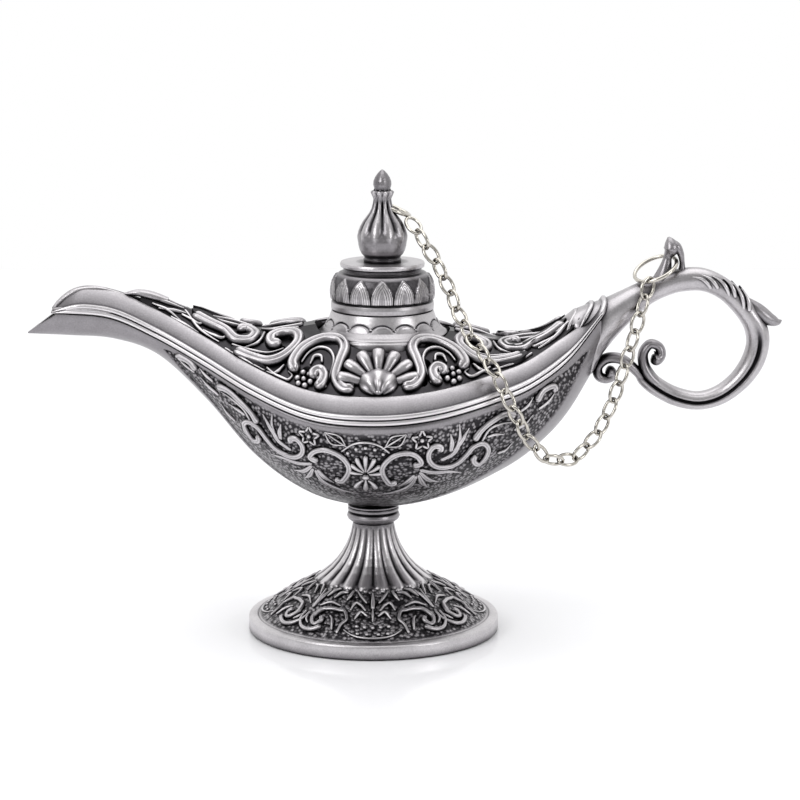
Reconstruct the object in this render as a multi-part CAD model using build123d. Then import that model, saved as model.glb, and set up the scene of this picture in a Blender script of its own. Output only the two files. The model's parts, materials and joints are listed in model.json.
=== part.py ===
"""Genie oil lamp: a boat-shaped cast bowl with spout and ring handle on a fluted foot,
a pierced cover, a lift-off lid with finial, and a chain that ties the lid to the handle.

Millimetres, +Z up, +X from spout to handle. The origin is the centre of the foot's underside.
Heights of everything above the stem are counted from the keel, the lowest point of the bowl.
"""
from build123d import *
from math import cos, pi, radians, sin
import os

# Gaps between pieces
SEAM_GAP = 0.15
LID_CLEARANCE = 0.25
SCREW_CLEARANCE = 0.05
SCREW_HEAD_CLEARANCE = 0.25
LID_EYE_PLAY = 0.5
HANDLE_EYE_PLAY = 0.6
# How far a cutting body runs past the surface it opens
CUT_OVER = 2.0

# Foot: a plain rim, a skirt that carries relief and a fluted flare
FOOT_RADIUS = 23.5
FOOT_RIM_HEIGHT = 2.8
FOOT_RIM_WIDTH = 1.7
SKIRT_STEP = 0.4
SKIRT_TOP_RADIUS = 11.5
SKIRT_TOP_Z = 9.3
STEM_RADIUS = 3.85
STEM_TOP_Z = 20.6
FLARE_WAIST = (0.45, 0.53)
FOOT_WALL = 1.8
FOOT_HOLLOW_RISE = 1.0
FLUTE_COUNT = 24
FLUTE_RADIUS = 0.42
FLUTE_DEPTH = 0.3

# Bead between the stem and the bowl, and the screw that holds all three
BEAD_RADIUS = 5.0
BEAD_HEIGHT = 3.4
BEAD_BAND_HEIGHT = 1.2
BEAD_BAND_STEP = 0.2
BEAD_GROOVE = 0.5
SCREW_RADIUS = 1.45
SCREW_HEAD_RADIUS = 2.5
SCREW_HEAD_HEIGHT = 1.6
SCREW_SLOT_WIDTH = 0.6
SCREW_SLOT_DEPTH = 0.6
SCREW_SEAT_DEPTH = 4.6
SCREW_GRIP = 3.2
BOSS_RADIUS = 3.6
KEEL_Z = STEM_TOP_Z + BEAD_HEIGHT

# Hull stations: x, half width at the seam, seam height and keel height above the keel's lowest point
HULL = [
    (-64.0, 2.8, 36.3, 32.3),
    (-56.0, 4.3, 36.5, 32.0),
    (-48.0, 4.8, 35.7, 31.4),
    (-40.0, 6.2, 32.4, 28.6),
    (-31.0, 10.6, 28.1, 20.3),
    (-22.0, 16.6, 23.8, 9.9),
    (-12.0, 22.0, 20.4, 2.9),
    (0.0, 25.0, 19.6, 0.2),
    (11.0, 23.8, 20.4, 1.5),
    (21.0, 19.6, 22.4, 5.4),
    (29.5, 14.4, 24.9, 10.6),
    (36.0, 9.6, 29.0, 17.3),
    (42.0, 5.8, 36.0, 27.5),
]
BOWL_WALL = 1.8
SPOUT_WALL = 1.0
SPOUT_END_X = -44.0
TAIL_SOLID = 5.0
LIP_START_X = -58.3
LIP_DROP = 3.7

# Rim frame: double ridge, then a flange that slopes in to the pierced cover
RIDGE_HEIGHT = 2.1
RIDGE_SWELL = 0.2
RIDGE_STEPS = (0.25, 0.5, 0.72)
FLANGE_WIDTH = 4.0
FLANGE_RISE = 2.6
FLANGE_EDGE_LEAST = 0.5
FLANGE_LAND = 0.3
RIM_WALL = 1.5
ROOF_HOLLOW_LEAST = 0.2
NOSE_X = -59.3
NOSE_LENGTH = 6.5
NOSE_TIP_SHARE = 0.12
OPENING_START_X = -43.0
OPENING_END_X = 38.0

# Pierced cover: crown height above the keel at stations along the centre line
CROWN = [(-43.0, 40.0), (-33.0, 36.4), (-22.0, 33.3), (-12.0, 34.2), (2.0, 35.0),
         (15.0, 33.2), (24.0, 31.2), (31.0, 32.0), (38.0, 36.2)]
COVER_WALL = 1.5
COVER_SHOULDER = 0.55
COVER_FULLNESS = 0.72
CROWN_FLAT = 0.12
EAVES_DROP = 0.2
EAVES_LEDGE = 0.5
PIERCING_ROWS = [(15.6, 1.15, 14), (18.6, 0.95, 18)]
PIERCING_STRETCH = 1.15
PALMETTE_X = 1.1
PALMETTE_LOBES = 7
PALMETTE_SPREAD = 140.0
PALMETTE_LENGTH = 6.5
PALMETTE_LOBE_RADIUS = 0.9
PALMETTE_BASE_RADIUS = 1.6
PALMETTE_BASE_Y = 18.6
PALMETTE_BASE_RISE = 1.2
PALMETTE_TILT = 42.0
STRAP_WIDTH = 1.4
STRAP_RELIEF = 1.0
# Scrolling straps of one quarter of the cover: x from the palmette, distance out from the lamp's plane
STRAPS = [
    [(4.4, 18.8), (7.5, 16.4), (6.2, 11.6), (9.5, 8.6), (14.4, 10.9), (14.9, 14.2)],
    [(26.5, 9.0), (19.5, 11.6), (14.8, 8.8), (17.2, 5.1), (19.5, 6.8)],
    [(34.2, 2.3), (28.5, 4.6), (25.2, 6.9), (22.8, 4.6), (25.4, 3.3)],
]

# Neck collar, lid and finial stand on one axis, a little behind the foot's
NECK_X = 1.75
COLLAR_FOOT_RADIUS = 12.4
COLLAR_FOOT_DEPTH = 2.6
COLLAR_FOOT_HEIGHT = 32.4
SEAT_RADIUS = 9.6
SEAT_HEIGHT = 36.9
NECK_BORE_RADIUS = 7.6
APRON_STEP = 1.2
APRON_HEIGHT = 1.6
SEAT_LIP = 0.2
SEAT_LIP_HEIGHT = 1.2
SCALLOP_COUNT = 15
SCALLOP_RADIUS = 0.9
SCALLOP_RISE = 2.2
CAP_RADIUS = 9.5
CAP_RING_HEIGHT = 1.9
CAP_HEIGHT = 8.9
CAP_TOP_RADIUS = 7.8
CAP_DISC_HEIGHT = 1.0
CAP_WALL = 1.5
PLUG_DEPTH = 4.0
PETAL_COUNT = 14
PETAL_RELIEF = 0.35
PETAL_WIDTH_SHARE = 0.8
PETAL_HEIGHT_SHARE = 0.52
PETAL_SHOULDER = (0.42, 0.55)
CAP_GROOVE = 0.25
CAP_GROOVE_WIDTH = 0.4
CAP_BELLY_RISE = 1.6
CAP_BROW = 0.5
CAP_NECK = 0.6
FINIAL_FOOT_RADIUS = 3.6
BULB_RADIUS = 4.55
BULB_HEIGHT = 9.8
GADROON_COUNT = 10
GADROON_DEPTH = 0.3
GADROON_ROUND = 0.55
NECK_RADIUS = 1.6
NECK_HEIGHT = 2.6
LID_EYE_RISE = 0.6
LEAF_COLLAR_RADIUS = 2.15
BUD_RADIUS = 1.65
BUD_HEIGHT = 4.7
STUD_RADIUS = 1.2
STUD_DEPTH = 1.4

# Handle: stalk, ring, two volutes and two leaves, all in the plane y = 0
HANDLE_RING_X = 60.4
HANDLE_RING_HEIGHT = 31.3
HANDLE_RING_RADIUS = 11.1
HANDLE_RING_START = 125.0
HANDLE_RING_SWEEP = 280.0
ARM_ROOT = (0.7, 0.72)
BAND_THICKNESS = 4.0
BAND_WIDTH = 4.8
VOLUTE_RADII = (2.3, 1.35)
VOLUTE_THICKNESS = 1.8
VOLUTE_WIDTH = 4.0
VOLUTE_BALL_RADIUS = 1.1
LOWER_VOLUTE_X = 44.6
LOWER_VOLUTE_HEIGHT = 22.9
STALK_FLATNESS = 0.72
LEAF_FLATNESS = 0.65
# Leaves and stalk: x, height above the keel, radius across, heading in degrees
STALK = [(46.0, 36.0, 4.2, 48.0), (50.2, 39.5, 2.8, 36.0), (55.6, 41.9, 2.1, 14.0)]
FRONT_LEAF = [(56.6, 43.0, 2.2, 88.0), (56.4, 46.3, 1.9, 100.0), (55.6, 48.6, 1.1, 116.0),
              (54.6, 50.2, 0.35, 124.0)]
REAR_LEAF = [(66.4, 41.0, 1.7, -42.0), (70.8, 37.0, 1.6, -42.0), (73.6, 35.2, 1.0, -15.0),
             (75.9, 34.9, 0.3, 5.0)]

# Chain: oval wire links, a ring through the finial and a ring through the front leaf
WIRE = 0.62
LINK_WIDTH = 3.3
LINK_INNER_LENGTH = 3.42
LINK_PLAY = 0.1
LINK_COUNT = 30
RING_WIRE = 0.76
WIRE_SIDES = 8
JUMP_RING_RADIUS = 4.1
EYE_POINT = (56.0, 0.0, 46.0)
# Each ring: its run through the eye, the way its centre lies from the eye, and the turn to the chain
JUMP_RING_HANG = ((0.12, -0.95, -0.3), (-0.88, -0.1, -0.42), 118.0)
LID_RING_RADIUS = 3.4
LID_RING_HANG = ((0.74, -0.6, -0.3), (0.6, 0.75, -0.28), 100.0)
# Route from the handle's ring to the lid's ring: share of the way between them, then an offset
ROUTE = [
    (0.00, (0, 0, 0)), (0.05, (0, -1.8, -8.0)), (0.13, (0, -3.8, -20.5)), (0.23, (0, -7.4, -30.6)),
    (0.35, (0, -11.4, -35.6)), (0.45, (0, -14.9, -35.0)), (0.53, (0, -17.9, -31.0)),
    (0.60, (0, -20.2, -25.2)), (0.66, (0, -18.4, -20.8)), (0.76, (0, -12.2, -16.4)),
    (0.87, (0, -5.4, -7.3)), (0.95, (0, -3.2, -2.7)), (1.00, (0, 0, 0)),
]
ROUTE_SAMPLES = 1500
SLACK_RANGE = (0.5, 1.6)
TWIST_AT_HANDLE = 60.0
TWIST_AT_LID = 40.0


def at(values, x):
    """Straight-line reading of a list of (place, value) pairs."""
    for (x0, v0), (x1, v1) in zip(values, values[1:]):
        if x <= x1:
            return v0 + (v1 - v0) * (x - x0) / (x1 - x0)
    return values[-1][1]


def half_width(x):
    return at([(s[0], s[1]) for s in HULL], x)


def seam(x):
    return at([(s[0], s[2]) for s in HULL], x)


def cross_plane(x):
    """Plane across the lamp at x: its own x runs along Y and its own y upwards from the keel."""
    return Plane(origin=(x, 0, KEEL_Z), x_dir=(0, 1, 0), z_dir=(1, 0, 0))


def polygon_section(x, right_side):
    """Closed face at x from the points of its right side, mirrored to the left."""
    left_side = [(-y, z) for y, z in reversed(right_side)]
    return cross_plane(x) * make_face(Polyline(*right_side, *left_side, close=True))


def hull_section(x, half, top, keel, above=0.0):
    """Lower half of an ellipse from seam to keel, closed above by straight sides and a lid line."""
    bottom = EllipticalCenterArc((0, top), half, top - keel, 180, arc_size=180)
    lid = Polyline((half, top), (half, top + above), (-half, top + above), (-half, top)) if above \
        else Line((half, top), (-half, top))
    return cross_plane(x) * make_face([bottom, lid])


def wall_at(x):
    return SPOUT_WALL if x < SPOUT_END_X else BOWL_WALL


def neck_axis(height):
    """Where the neck's axis stands at a height above the keel."""
    return Pos(NECK_X, 0, KEEL_Z + height)


def turned(points):
    """Solid of revolution about Z from (radius, z) points."""
    return revolve(Plane.XZ * make_face(Polyline(*points, close=True)), Axis.Z)


def around(count, piece, start=0.0):
    return [Rot(0, 0, start + 360 * k / count) * piece for k in range(count)]


def make_foot():
    rim_inner = FOOT_RADIUS - FOOT_RIM_WIDTH
    skirt_start_z = FOOT_RIM_HEIGHT + SKIRT_STEP
    waist_out, waist_up = FLARE_WAIST
    flare_mid = (waist_out * SKIRT_TOP_RADIUS, SKIRT_TOP_Z + waist_up * (STEM_TOP_Z - SKIRT_TOP_Z))
    flare = ThreePointArc((SKIRT_TOP_RADIUS, SKIRT_TOP_Z), flare_mid, (STEM_RADIUS, STEM_TOP_Z))
    seat_z = STEM_TOP_Z - SCREW_SEAT_DEPTH
    head_room = SCREW_HEAD_RADIUS + SCREW_HEAD_CLEARANCE
    bore = SCREW_RADIUS + SCREW_CLEARANCE
    outline = [
        Polyline((STEM_RADIUS, STEM_TOP_Z), (bore, STEM_TOP_Z), (bore, seat_z), (head_room, seat_z),
                 (head_room, SKIRT_TOP_Z + FOOT_HOLLOW_RISE),
                 (SKIRT_TOP_RADIUS - FOOT_WALL, SKIRT_TOP_Z - FOOT_WALL),
                 (rim_inner - FOOT_WALL, skirt_start_z - FOOT_WALL), (rim_inner - FOOT_WALL, 0),
                 (FOOT_RADIUS, 0), (FOOT_RADIUS, FOOT_RIM_HEIGHT), (rim_inner, skirt_start_z),
                 (SKIRT_TOP_RADIUS, SKIRT_TOP_Z)),
        flare,
    ]
    foot = revolve(Plane.XZ * make_face(outline), Axis.Z)
    start_direction = flare % 0
    lift = FLUTE_RADIUS - FLUTE_DEPTH
    normal = Vector(start_direction.Y, -start_direction.X)
    groove_path = Plane.XZ * Pos(normal.X * lift, normal.Y * lift) * flare
    groove = sweep(Plane(groove_path @ 0, z_dir=groove_path % 0) * Circle(FLUTE_RADIUS), path=groove_path)
    return foot - around(FLUTE_COUNT, groove)


def make_stem_ring():
    bore = SCREW_RADIUS + SCREW_CLEARANCE
    top = STEM_TOP_Z + BEAD_HEIGHT
    band_radius = BEAD_RADIUS - BEAD_BAND_STEP
    waist = top - BEAD_BAND_HEIGHT
    belly = STEM_TOP_Z + (waist - STEM_TOP_Z) / 2
    outline = [
        Polyline((STEM_RADIUS, STEM_TOP_Z), (bore, STEM_TOP_Z), (bore, top), (band_radius, top),
                 (band_radius, waist), (BEAD_RADIUS - BEAD_GROOVE, waist)),
        ThreePointArc((BEAD_RADIUS - BEAD_GROOVE, waist), (BEAD_RADIUS, belly), (STEM_RADIUS, STEM_TOP_Z)),
    ]
    return revolve(Plane.XZ * make_face(outline), Axis.Z)


def make_foot_screw():
    seat_z = STEM_TOP_Z - SCREW_SEAT_DEPTH
    length = KEEL_Z + SCREW_GRIP - seat_z
    shank = Pos(0, 0, seat_z) * extrude(Circle(SCREW_RADIUS), length)
    head = Pos(0, 0, seat_z - SCREW_HEAD_HEIGHT) * extrude(Circle(SCREW_HEAD_RADIUS), SCREW_HEAD_HEIGHT)
    slot = Box(2 * SCREW_HEAD_RADIUS, SCREW_SLOT_WIDTH, 2 * SCREW_SLOT_DEPTH)
    return shank + head - Pos(0, 0, seat_z - SCREW_HEAD_HEIGHT) * slot


def make_bowl():
    outer = loft([hull_section(*station) for station in HULL])
    inner_sections = []
    for x, half, top, keel in HULL[:-1]:
        wall = wall_at(x)
        inner_sections.append(hull_section(x, half - wall, top, keel + wall, above=CUT_OVER))
    first = HULL[0]
    mouth_x = first[0] - CUT_OVER
    mouth = hull_section(mouth_x, first[1] - SPOUT_WALL, first[2], first[3] + SPOUT_WALL, above=CUT_OVER)
    x, half, top, keel = HULL[-1]
    last = hull_section(x - TAIL_SOLID, half - BOWL_WALL, top - BOWL_WALL, keel - BOWL_WALL, above=CUT_OVER)
    bowl = outer - loft([mouth] + inner_sections[:-1] + [last])
    boss_top = KEEL_Z + SCREW_GRIP + BOWL_WALL
    boss = Pos(0, 0, KEEL_Z) * extrude(Circle(BOSS_RADIUS), boss_top - KEEL_Z)
    hole = Pos(0, 0, KEEL_Z) * extrude(Circle(SCREW_RADIUS + SCREW_CLEARANCE), SCREW_GRIP + SCREW_CLEARANCE)
    lip_top = seam(LIP_START_X)
    lip = Polyline((LIP_START_X, lip_top), (first[0], lip_top - LIP_DROP), (mouth_x, lip_top - LIP_DROP),
                   (mouth_x, lip_top + CUT_OVER), (LIP_START_X, lip_top + CUT_OVER), close=True)
    lip_cut = Pos(0, 0, KEEL_Z) * extrude(Plane.XZ * make_face(lip), 2 * first[1], both=True)
    return bowl + boss - hole - lip_cut


def rim_height(x):
    """Share of the full roof height: it falls away over the nose of the spout."""
    return min(1.0, max(NOSE_TIP_SHARE, (x - NOSE_X) / NOSE_LENGTH))


def flange_edge(x):
    return max(half_width(x) - FLANGE_WIDTH, FLANGE_EDGE_LEAST)


def rim_stations():
    inner = [s[0] for s in HULL if s[0] > NOSE_X + NOSE_LENGTH / 2]
    return [NOSE_X, NOSE_X + NOSE_LENGTH / 2] + inner


def rim_outer_section(x):
    half = half_width(x)
    base = seam(x) + SEAM_GAP
    share = rim_height(x)
    ridge = RIDGE_HEIGHT * share
    return polygon_section(x, [
        (half, base),
        (half + RIDGE_SWELL, base + RIDGE_STEPS[0] * ridge),
        (half - RIDGE_SWELL, base + RIDGE_STEPS[1] * ridge),
        (half + RIDGE_SWELL / 2, base + RIDGE_STEPS[2] * ridge),
        (half - 2 * RIDGE_SWELL, base + ridge),
        (flange_edge(x), base + ridge + FLANGE_RISE * share),
    ])


def rim_inner_section(x):
    half = half_width(x) - max(RIM_WALL, wall_at(x))
    base = seam(x)
    roof = (RIDGE_HEIGHT + FLANGE_RISE) * rim_height(x) - RIM_WALL
    return polygon_section(x, [
        (half, base - CUT_OVER),
        (half, base + max(ROOF_HOLLOW_LEAST, RIDGE_HEIGHT * rim_height(x) - RIM_WALL)),
        (min(half - ROOF_HOLLOW_LEAST, flange_edge(x)), base + max(2 * ROOF_HOLLOW_LEAST, roof)),
    ])


def opening_section(x):
    half = flange_edge(x) - FLANGE_LAND
    roof = seam(x) + RIDGE_HEIGHT + FLANGE_RISE
    return polygon_section(x, [(half, seam(x) - CUT_OVER), (half, roof + CUT_OVER)])


def opening_stations():
    inner = [s[0] for s in HULL if OPENING_START_X + 1 < s[0] < OPENING_END_X - 1]
    return [OPENING_START_X] + inner + [OPENING_END_X]


def make_rim_frame():
    stations = rim_stations()
    hollow_stations = [stations[0] - CUT_OVER] + stations[:-1] + [HULL[-1][0] - TAIL_SOLID]
    roof = loft([rim_outer_section(x) for x in stations])
    hollow = loft([rim_inner_section(x) for x in hollow_stations])
    opening = loft([opening_section(x) for x in opening_stations()])
    return roof - opening - hollow


def cover_section(x, drop, narrow):
    """Arched section of the cover: eaves at the flange, a full shoulder and the crown."""
    edge = flange_edge(x) - FLANGE_LAND - SEAM_GAP - narrow
    eaves = seam(x) + RIDGE_HEIGHT + FLANGE_RISE - EAVES_DROP
    crown = at(CROWN, x)
    shoulder = eaves + COVER_FULLNESS * (crown - eaves)
    floor = eaves - COVER_WALL - (CUT_OVER if drop > 0 else 0.0)
    return polygon_section(x, [
        (edge, floor),
        (edge, eaves - drop),
        (COVER_SHOULDER * edge, shoulder - drop),
        (CROWN_FLAT * edge, crown - drop),
    ])


def make_palmette():
    """Fan of tapered lobes on a round base, lying on the cover's front slope."""
    lobes = []
    lobe = Cone(PALMETTE_LOBE_RADIUS / 3, PALMETTE_LOBE_RADIUS, PALMETTE_LENGTH)
    for k in range(PALMETTE_LOBES):
        turn = PALMETTE_SPREAD * (k / (PALMETTE_LOBES - 1) - 0.5)
        lobes.append(Rot(0, turn, 0) * Pos(0, 0, PALMETTE_LENGTH / 2) * lobe)
    return Sphere(PALMETTE_BASE_RADIUS) + lobes


def make_straps(hollow):
    """Straps that follow the cover's surface: bands drawn in plan, cut to a raised copy of the cover."""
    raised = loft([cover_section(x, -STRAP_RELIEF, 0) for x in opening_stations()]) - hollow
    straps = []
    for points in STRAPS:
        for end in (-1, 1):
            line = Spline(*[(PALMETTE_X + end * x, out) for x, out in points])
            band = Pos(0, 0, KEEL_Z) * extrude(trace(line, STRAP_WIDTH), SEAT_HEIGHT + CAP_HEIGHT)
            straps.append(band & raised)
    return straps + [mirror(strap, Plane.XZ) for strap in straps]


def make_pierced_cover():
    stations = opening_stations()
    hollow = loft([cover_section(x, COVER_WALL, EAVES_LEDGE) for x in stations])
    shell = loft([cover_section(x, 0, 0) for x in stations]) - hollow
    fan = make_palmette()
    base_z = KEEL_Z + seam(PALMETTE_X) + RIDGE_HEIGHT + FLANGE_RISE + PALMETTE_BASE_RISE
    for side in (-1, 1):
        shell += Pos(PALMETTE_X, side * PALMETTE_BASE_Y, base_z) * Rot(side * PALMETTE_TILT, 0, 0) * fan
    holes = []
    for radius, hole, count in PIERCING_ROWS:
        for k in range(count):
            turn = radians(360 * (k + 0.5) / count)
            place = Pos(NECK_X + radius * PIERCING_STRETCH * cos(turn), radius * sin(turn), KEEL_Z)
            holes.append(place * extrude(Circle(hole), CAP_HEIGHT + SEAT_HEIGHT))
    neck_hole = neck_axis(0) * extrude(Circle(COLLAR_FOOT_RADIUS + SEAM_GAP), SEAT_HEIGHT + CAP_HEIGHT)
    return shell - holes + make_straps(hollow) - neck_hole


def make_neck_collar():
    foot_z = COLLAR_FOOT_HEIGHT
    body = turned([
        (NECK_BORE_RADIUS, foot_z - COLLAR_FOOT_DEPTH), (COLLAR_FOOT_RADIUS, foot_z - COLLAR_FOOT_DEPTH),
        (COLLAR_FOOT_RADIUS, foot_z), (SEAT_RADIUS + APRON_STEP, foot_z + APRON_HEIGHT),
        (SEAT_RADIUS + SEAT_LIP, SEAT_HEIGHT - SEAT_LIP_HEIGHT), (SEAT_RADIUS, SEAT_HEIGHT),
        (NECK_BORE_RADIUS, SEAT_HEIGHT),
    ])
    scallop = Pos(SEAT_RADIUS + SCALLOP_RADIUS, 0, foot_z + SCALLOP_RISE) * Sphere(SCALLOP_RADIUS)
    return neck_axis(0) * (body + around(SCALLOP_COUNT, scallop))


def petal_outline():
    """Pointed arch, standing on its base line."""
    width = PETAL_WIDTH_SHARE * 2 * pi * CAP_RADIUS / PETAL_COUNT
    height = PETAL_HEIGHT_SHARE * CAP_HEIGHT
    out, up = PETAL_SHOULDER
    return make_face([
        Line((-width / 2, 0), (width / 2, 0)),
        ThreePointArc((width / 2, 0), (out * width, up * height), (0, height)),
        ThreePointArc((0, height), (-out * width, up * height), (-width / 2, 0)),
    ])


def make_lid_cap():
    seat = SEAT_HEIGHT
    top = seat + CAP_HEIGHT
    petal_top = top - CAP_DISC_HEIGHT - CAP_NECK
    petal_foot = seat + CAP_RING_HEIGHT
    plug = NECK_BORE_RADIUS - LID_CLEARANCE
    stud_hole = STUD_RADIUS + SCREW_CLEARANCE
    body = turned([
        (plug - CAP_WALL, seat - PLUG_DEPTH), (plug, seat - PLUG_DEPTH), (plug, seat), (CAP_RADIUS, seat),
        (CAP_RADIUS, petal_foot - CAP_GROOVE_WIDTH),
        (CAP_RADIUS - CAP_GROOVE, petal_foot), (CAP_RADIUS, petal_foot + CAP_BELLY_RISE),
        (CAP_TOP_RADIUS + CAP_BROW, petal_top - CAP_BROW), (CAP_TOP_RADIUS - CAP_NECK, petal_top),
        (CAP_TOP_RADIUS, petal_top + CAP_NECK), (CAP_TOP_RADIUS, top), (stud_hole, top),
        (stud_hole, top - CAP_WALL), (plug - CAP_WALL, petal_top - CAP_WALL),
    ])
    outline = Plane(origin=(0, 0, petal_foot), x_dir=(0, 1, 0), z_dir=(1, 0, 0)) * petal_outline()
    reach = CAP_RADIUS + PETAL_RELIEF
    petal = extrude(outline, reach)
    inside = CAP_TOP_RADIUS - 2 * CAP_BROW
    band = turned([
        (inside, petal_foot), (reach - CAP_GROOVE, petal_foot), (reach, petal_foot + CAP_BELLY_RISE),
        (CAP_TOP_RADIUS + CAP_BROW + PETAL_RELIEF, petal_top - CAP_BROW), (inside, petal_top - CAP_BROW / 2),
    ])
    petals = [band & p for p in around(PETAL_COUNT, petal, start=180 / PETAL_COUNT)]
    return neck_axis(0) * (body + petals)


def make_finial():
    base = SEAT_HEIGHT + CAP_HEIGHT
    neck_foot = base + BULB_HEIGHT
    leaf_z = neck_foot + NECK_HEIGHT
    bulb = Spline((FINIAL_FOOT_RADIUS, base + 1.0), (0.96 * BULB_RADIUS, base + 0.44 * BULB_HEIGHT),
                  (BULB_RADIUS, base + 0.59 * BULB_HEIGHT), (0.83 * BULB_RADIUS, base + 0.745 * BULB_HEIGHT),
                  (0.55 * BULB_RADIUS, base + 0.9 * BULB_HEIGHT), (NECK_RADIUS, neck_foot))
    bud = Spline((0.88 * BUD_RADIUS, leaf_z + 0.5), (BUD_RADIUS, leaf_z + 0.4 * BUD_HEIGHT),
                 (0.75 * BUD_RADIUS, leaf_z + 0.68 * BUD_HEIGHT), (0, leaf_z + BUD_HEIGHT))
    outline = [
        Polyline((0, leaf_z + BUD_HEIGHT), (0, base - STUD_DEPTH), (STUD_RADIUS, base - STUD_DEPTH),
                 (STUD_RADIUS, base), (FINIAL_FOOT_RADIUS, base), bulb @ 0),
        bulb,
        Polyline(bulb @ 1, (NECK_RADIUS, leaf_z - 0.6), (LEAF_COLLAR_RADIUS, leaf_z), bud @ 0),
        bud,
    ]
    finial = revolve(Plane.XZ * make_face(outline), Axis.Z)
    groove_path = Plane.XZ * Pos(GADROON_ROUND - GADROON_DEPTH, 0) * bulb.trim(0.1, 0.72)
    groove = sweep(Plane(groove_path @ 0, z_dir=groove_path % 0) * Circle(GADROON_ROUND), path=groove_path)
    finial -= around(GADROON_COUNT, groove)
    finial = neck_axis(0) * finial
    return finial - ring_hole(lid_eye(), LID_RING_HANG[0], LID_EYE_PLAY)


def ring_hole(centre, direction, play):
    """Round hole right through at a point, along a direction, with play around the ring's wire."""
    drill = extrude(Circle(RING_WIRE / 2 + play), 4 * NECK_RADIUS, both=True)
    return Plane(centre, z_dir=direction) * drill


def lid_eye():
    """Middle of the cross hole in the finial's neck."""
    return Vector(NECK_X, 0, KEEL_Z + SEAT_HEIGHT + CAP_HEIGHT + BULB_HEIGHT + LID_EYE_RISE)


def ellipse_across(x, z, radius, width, heading):
    """Elliptic face across the handle's plane, square to a heading in that plane."""
    turn = radians(heading)
    plane = Plane(origin=(x, 0, KEEL_Z + z), x_dir=(0, 1, 0), z_dir=(cos(turn), 0, sin(turn)))
    return plane * Ellipse(width, radius)


def tapered(points, width_ratio):
    """Loft through ellipses that shrink along a leaf."""
    return loft([ellipse_across(x, z, r, r * width_ratio, heading) for x, z, r, heading in points])


def volute(x, z, heading):
    """Band that curls inwards clockwise in half circles and ends in a ball."""
    pieces = []
    here = Vector(x, 0, KEEL_Z + z)
    turn = radians(heading)
    for radius in VOLUTE_RADII:
        ahead = Vector(cos(turn), 0, sin(turn))
        aside = Vector(sin(turn), 0, -cos(turn))
        centre = here + aside * radius
        arc = ThreePointArc(here, centre + ahead * radius, here + aside * (2 * radius))
        section = Plane(here, x_dir=(0, 1, 0), z_dir=ahead) * Ellipse(VOLUTE_WIDTH / 2, VOLUTE_THICKNESS / 2)
        pieces.append(sweep(section, path=arc))
        here = here + aside * (2 * radius)
        turn -= pi
    pieces.append(Pos(*here) * Sphere(VOLUTE_BALL_RADIUS))
    return pieces


def make_handle():
    ring_z = KEEL_Z + HANDLE_RING_HEIGHT
    x, half, top, keel = HULL[-1]
    roof = top + RIDGE_HEIGHT + FLANGE_RISE
    root = Plane(origin=(x + SEAM_GAP, 0, KEEL_Z + (roof + keel) / 2), x_dir=(0, 1, 0), z_dir=(1, 0, 0))
    root_face = root * Ellipse(half - RIDGE_SWELL, (roof - keel) / 2 - RIDGE_SWELL)
    stalk = loft([root_face] + [ellipse_across(sx, sz, r, r * STALK_FLATNESS, h) for sx, sz, r, h in STALK])
    ring_path = Plane(origin=(HANDLE_RING_X, 0, ring_z), x_dir=(1, 0, 0), z_dir=(0, -1, 0)) * CenterArc(
        (0, 0), HANDLE_RING_RADIUS, HANDLE_RING_START, -HANDLE_RING_SWEEP)
    ring_section = Plane(ring_path @ 0, x_dir=(0, 1, 0), z_dir=ring_path % 0)
    ring = sweep(ring_section * Ellipse(BAND_WIDTH / 2, BAND_THICKNESS / 2), path=ring_path)
    tip = ring_path @ 1
    direction = ring_path % 1
    upper = volute(tip.X, tip.Z - KEEL_Z, Vector(1, 0, 0).get_signed_angle(direction, Vector(0, -1, 0)))
    across, down = ARM_ROOT
    arm_start = Vector(HANDLE_RING_X - across * HANDLE_RING_RADIUS, 0, ring_z - down * HANDLE_RING_RADIUS)
    arm_end = Vector(LOWER_VOLUTE_X, 0, KEEL_Z + LOWER_VOLUTE_HEIGHT)
    arm_line = Line(arm_start, arm_end)
    arm = sweep(Plane(arm_start, x_dir=(0, 1, 0), z_dir=arm_line % 0)
                * Ellipse(VOLUTE_WIDTH / 2, VOLUTE_THICKNESS / 2), path=arm_line)
    lower = volute(LOWER_VOLUTE_X, LOWER_VOLUTE_HEIGHT, 180)
    leaves = [tapered(FRONT_LEAF, LEAF_FLATNESS), tapered(REAR_LEAF, 1.0)]
    handle = stalk + ring + upper + arm + lower + leaves
    return handle - ring_hole(handle_eye(), JUMP_RING_HANG[0], HANDLE_EYE_PLAY)


def handle_eye():
    """Middle of the hole in the handle's front leaf."""
    x, y, z = EYE_POINT
    return Vector(x, y, KEEL_Z + z)


def ring_frame(eye, radius, hang):
    """Centre and normal of a ring that runs through an eye, the point where the chain hangs on it,
    and the direction of its wire there."""
    tangent = Vector(*hang[0]).normalized()
    lean = Vector(*hang[1])
    inwards = (lean - tangent * lean.dot(tangent)).normalized()
    centre = eye + inwards * radius
    turn = radians(hang[2])
    hook = centre + (tangent * sin(turn) - inwards * cos(turn)) * radius
    return centre, tangent.cross(inwards), hook, tangent * cos(turn) + inwards * sin(turn)


def jump_ring_frame():
    return ring_frame(handle_eye(), JUMP_RING_RADIUS, JUMP_RING_HANG)


def lid_ring_frame():
    return ring_frame(lid_eye(), LID_RING_RADIUS, LID_RING_HANG)


def wire_ring(frame, radius):
    wire = Pos(radius, 0, 0) * (Plane.XZ * RegularPolygon(RING_WIRE / 2, WIRE_SIDES))
    return Plane(frame[0], z_dir=frame[1]) * revolve(wire, Axis.Z)


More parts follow.
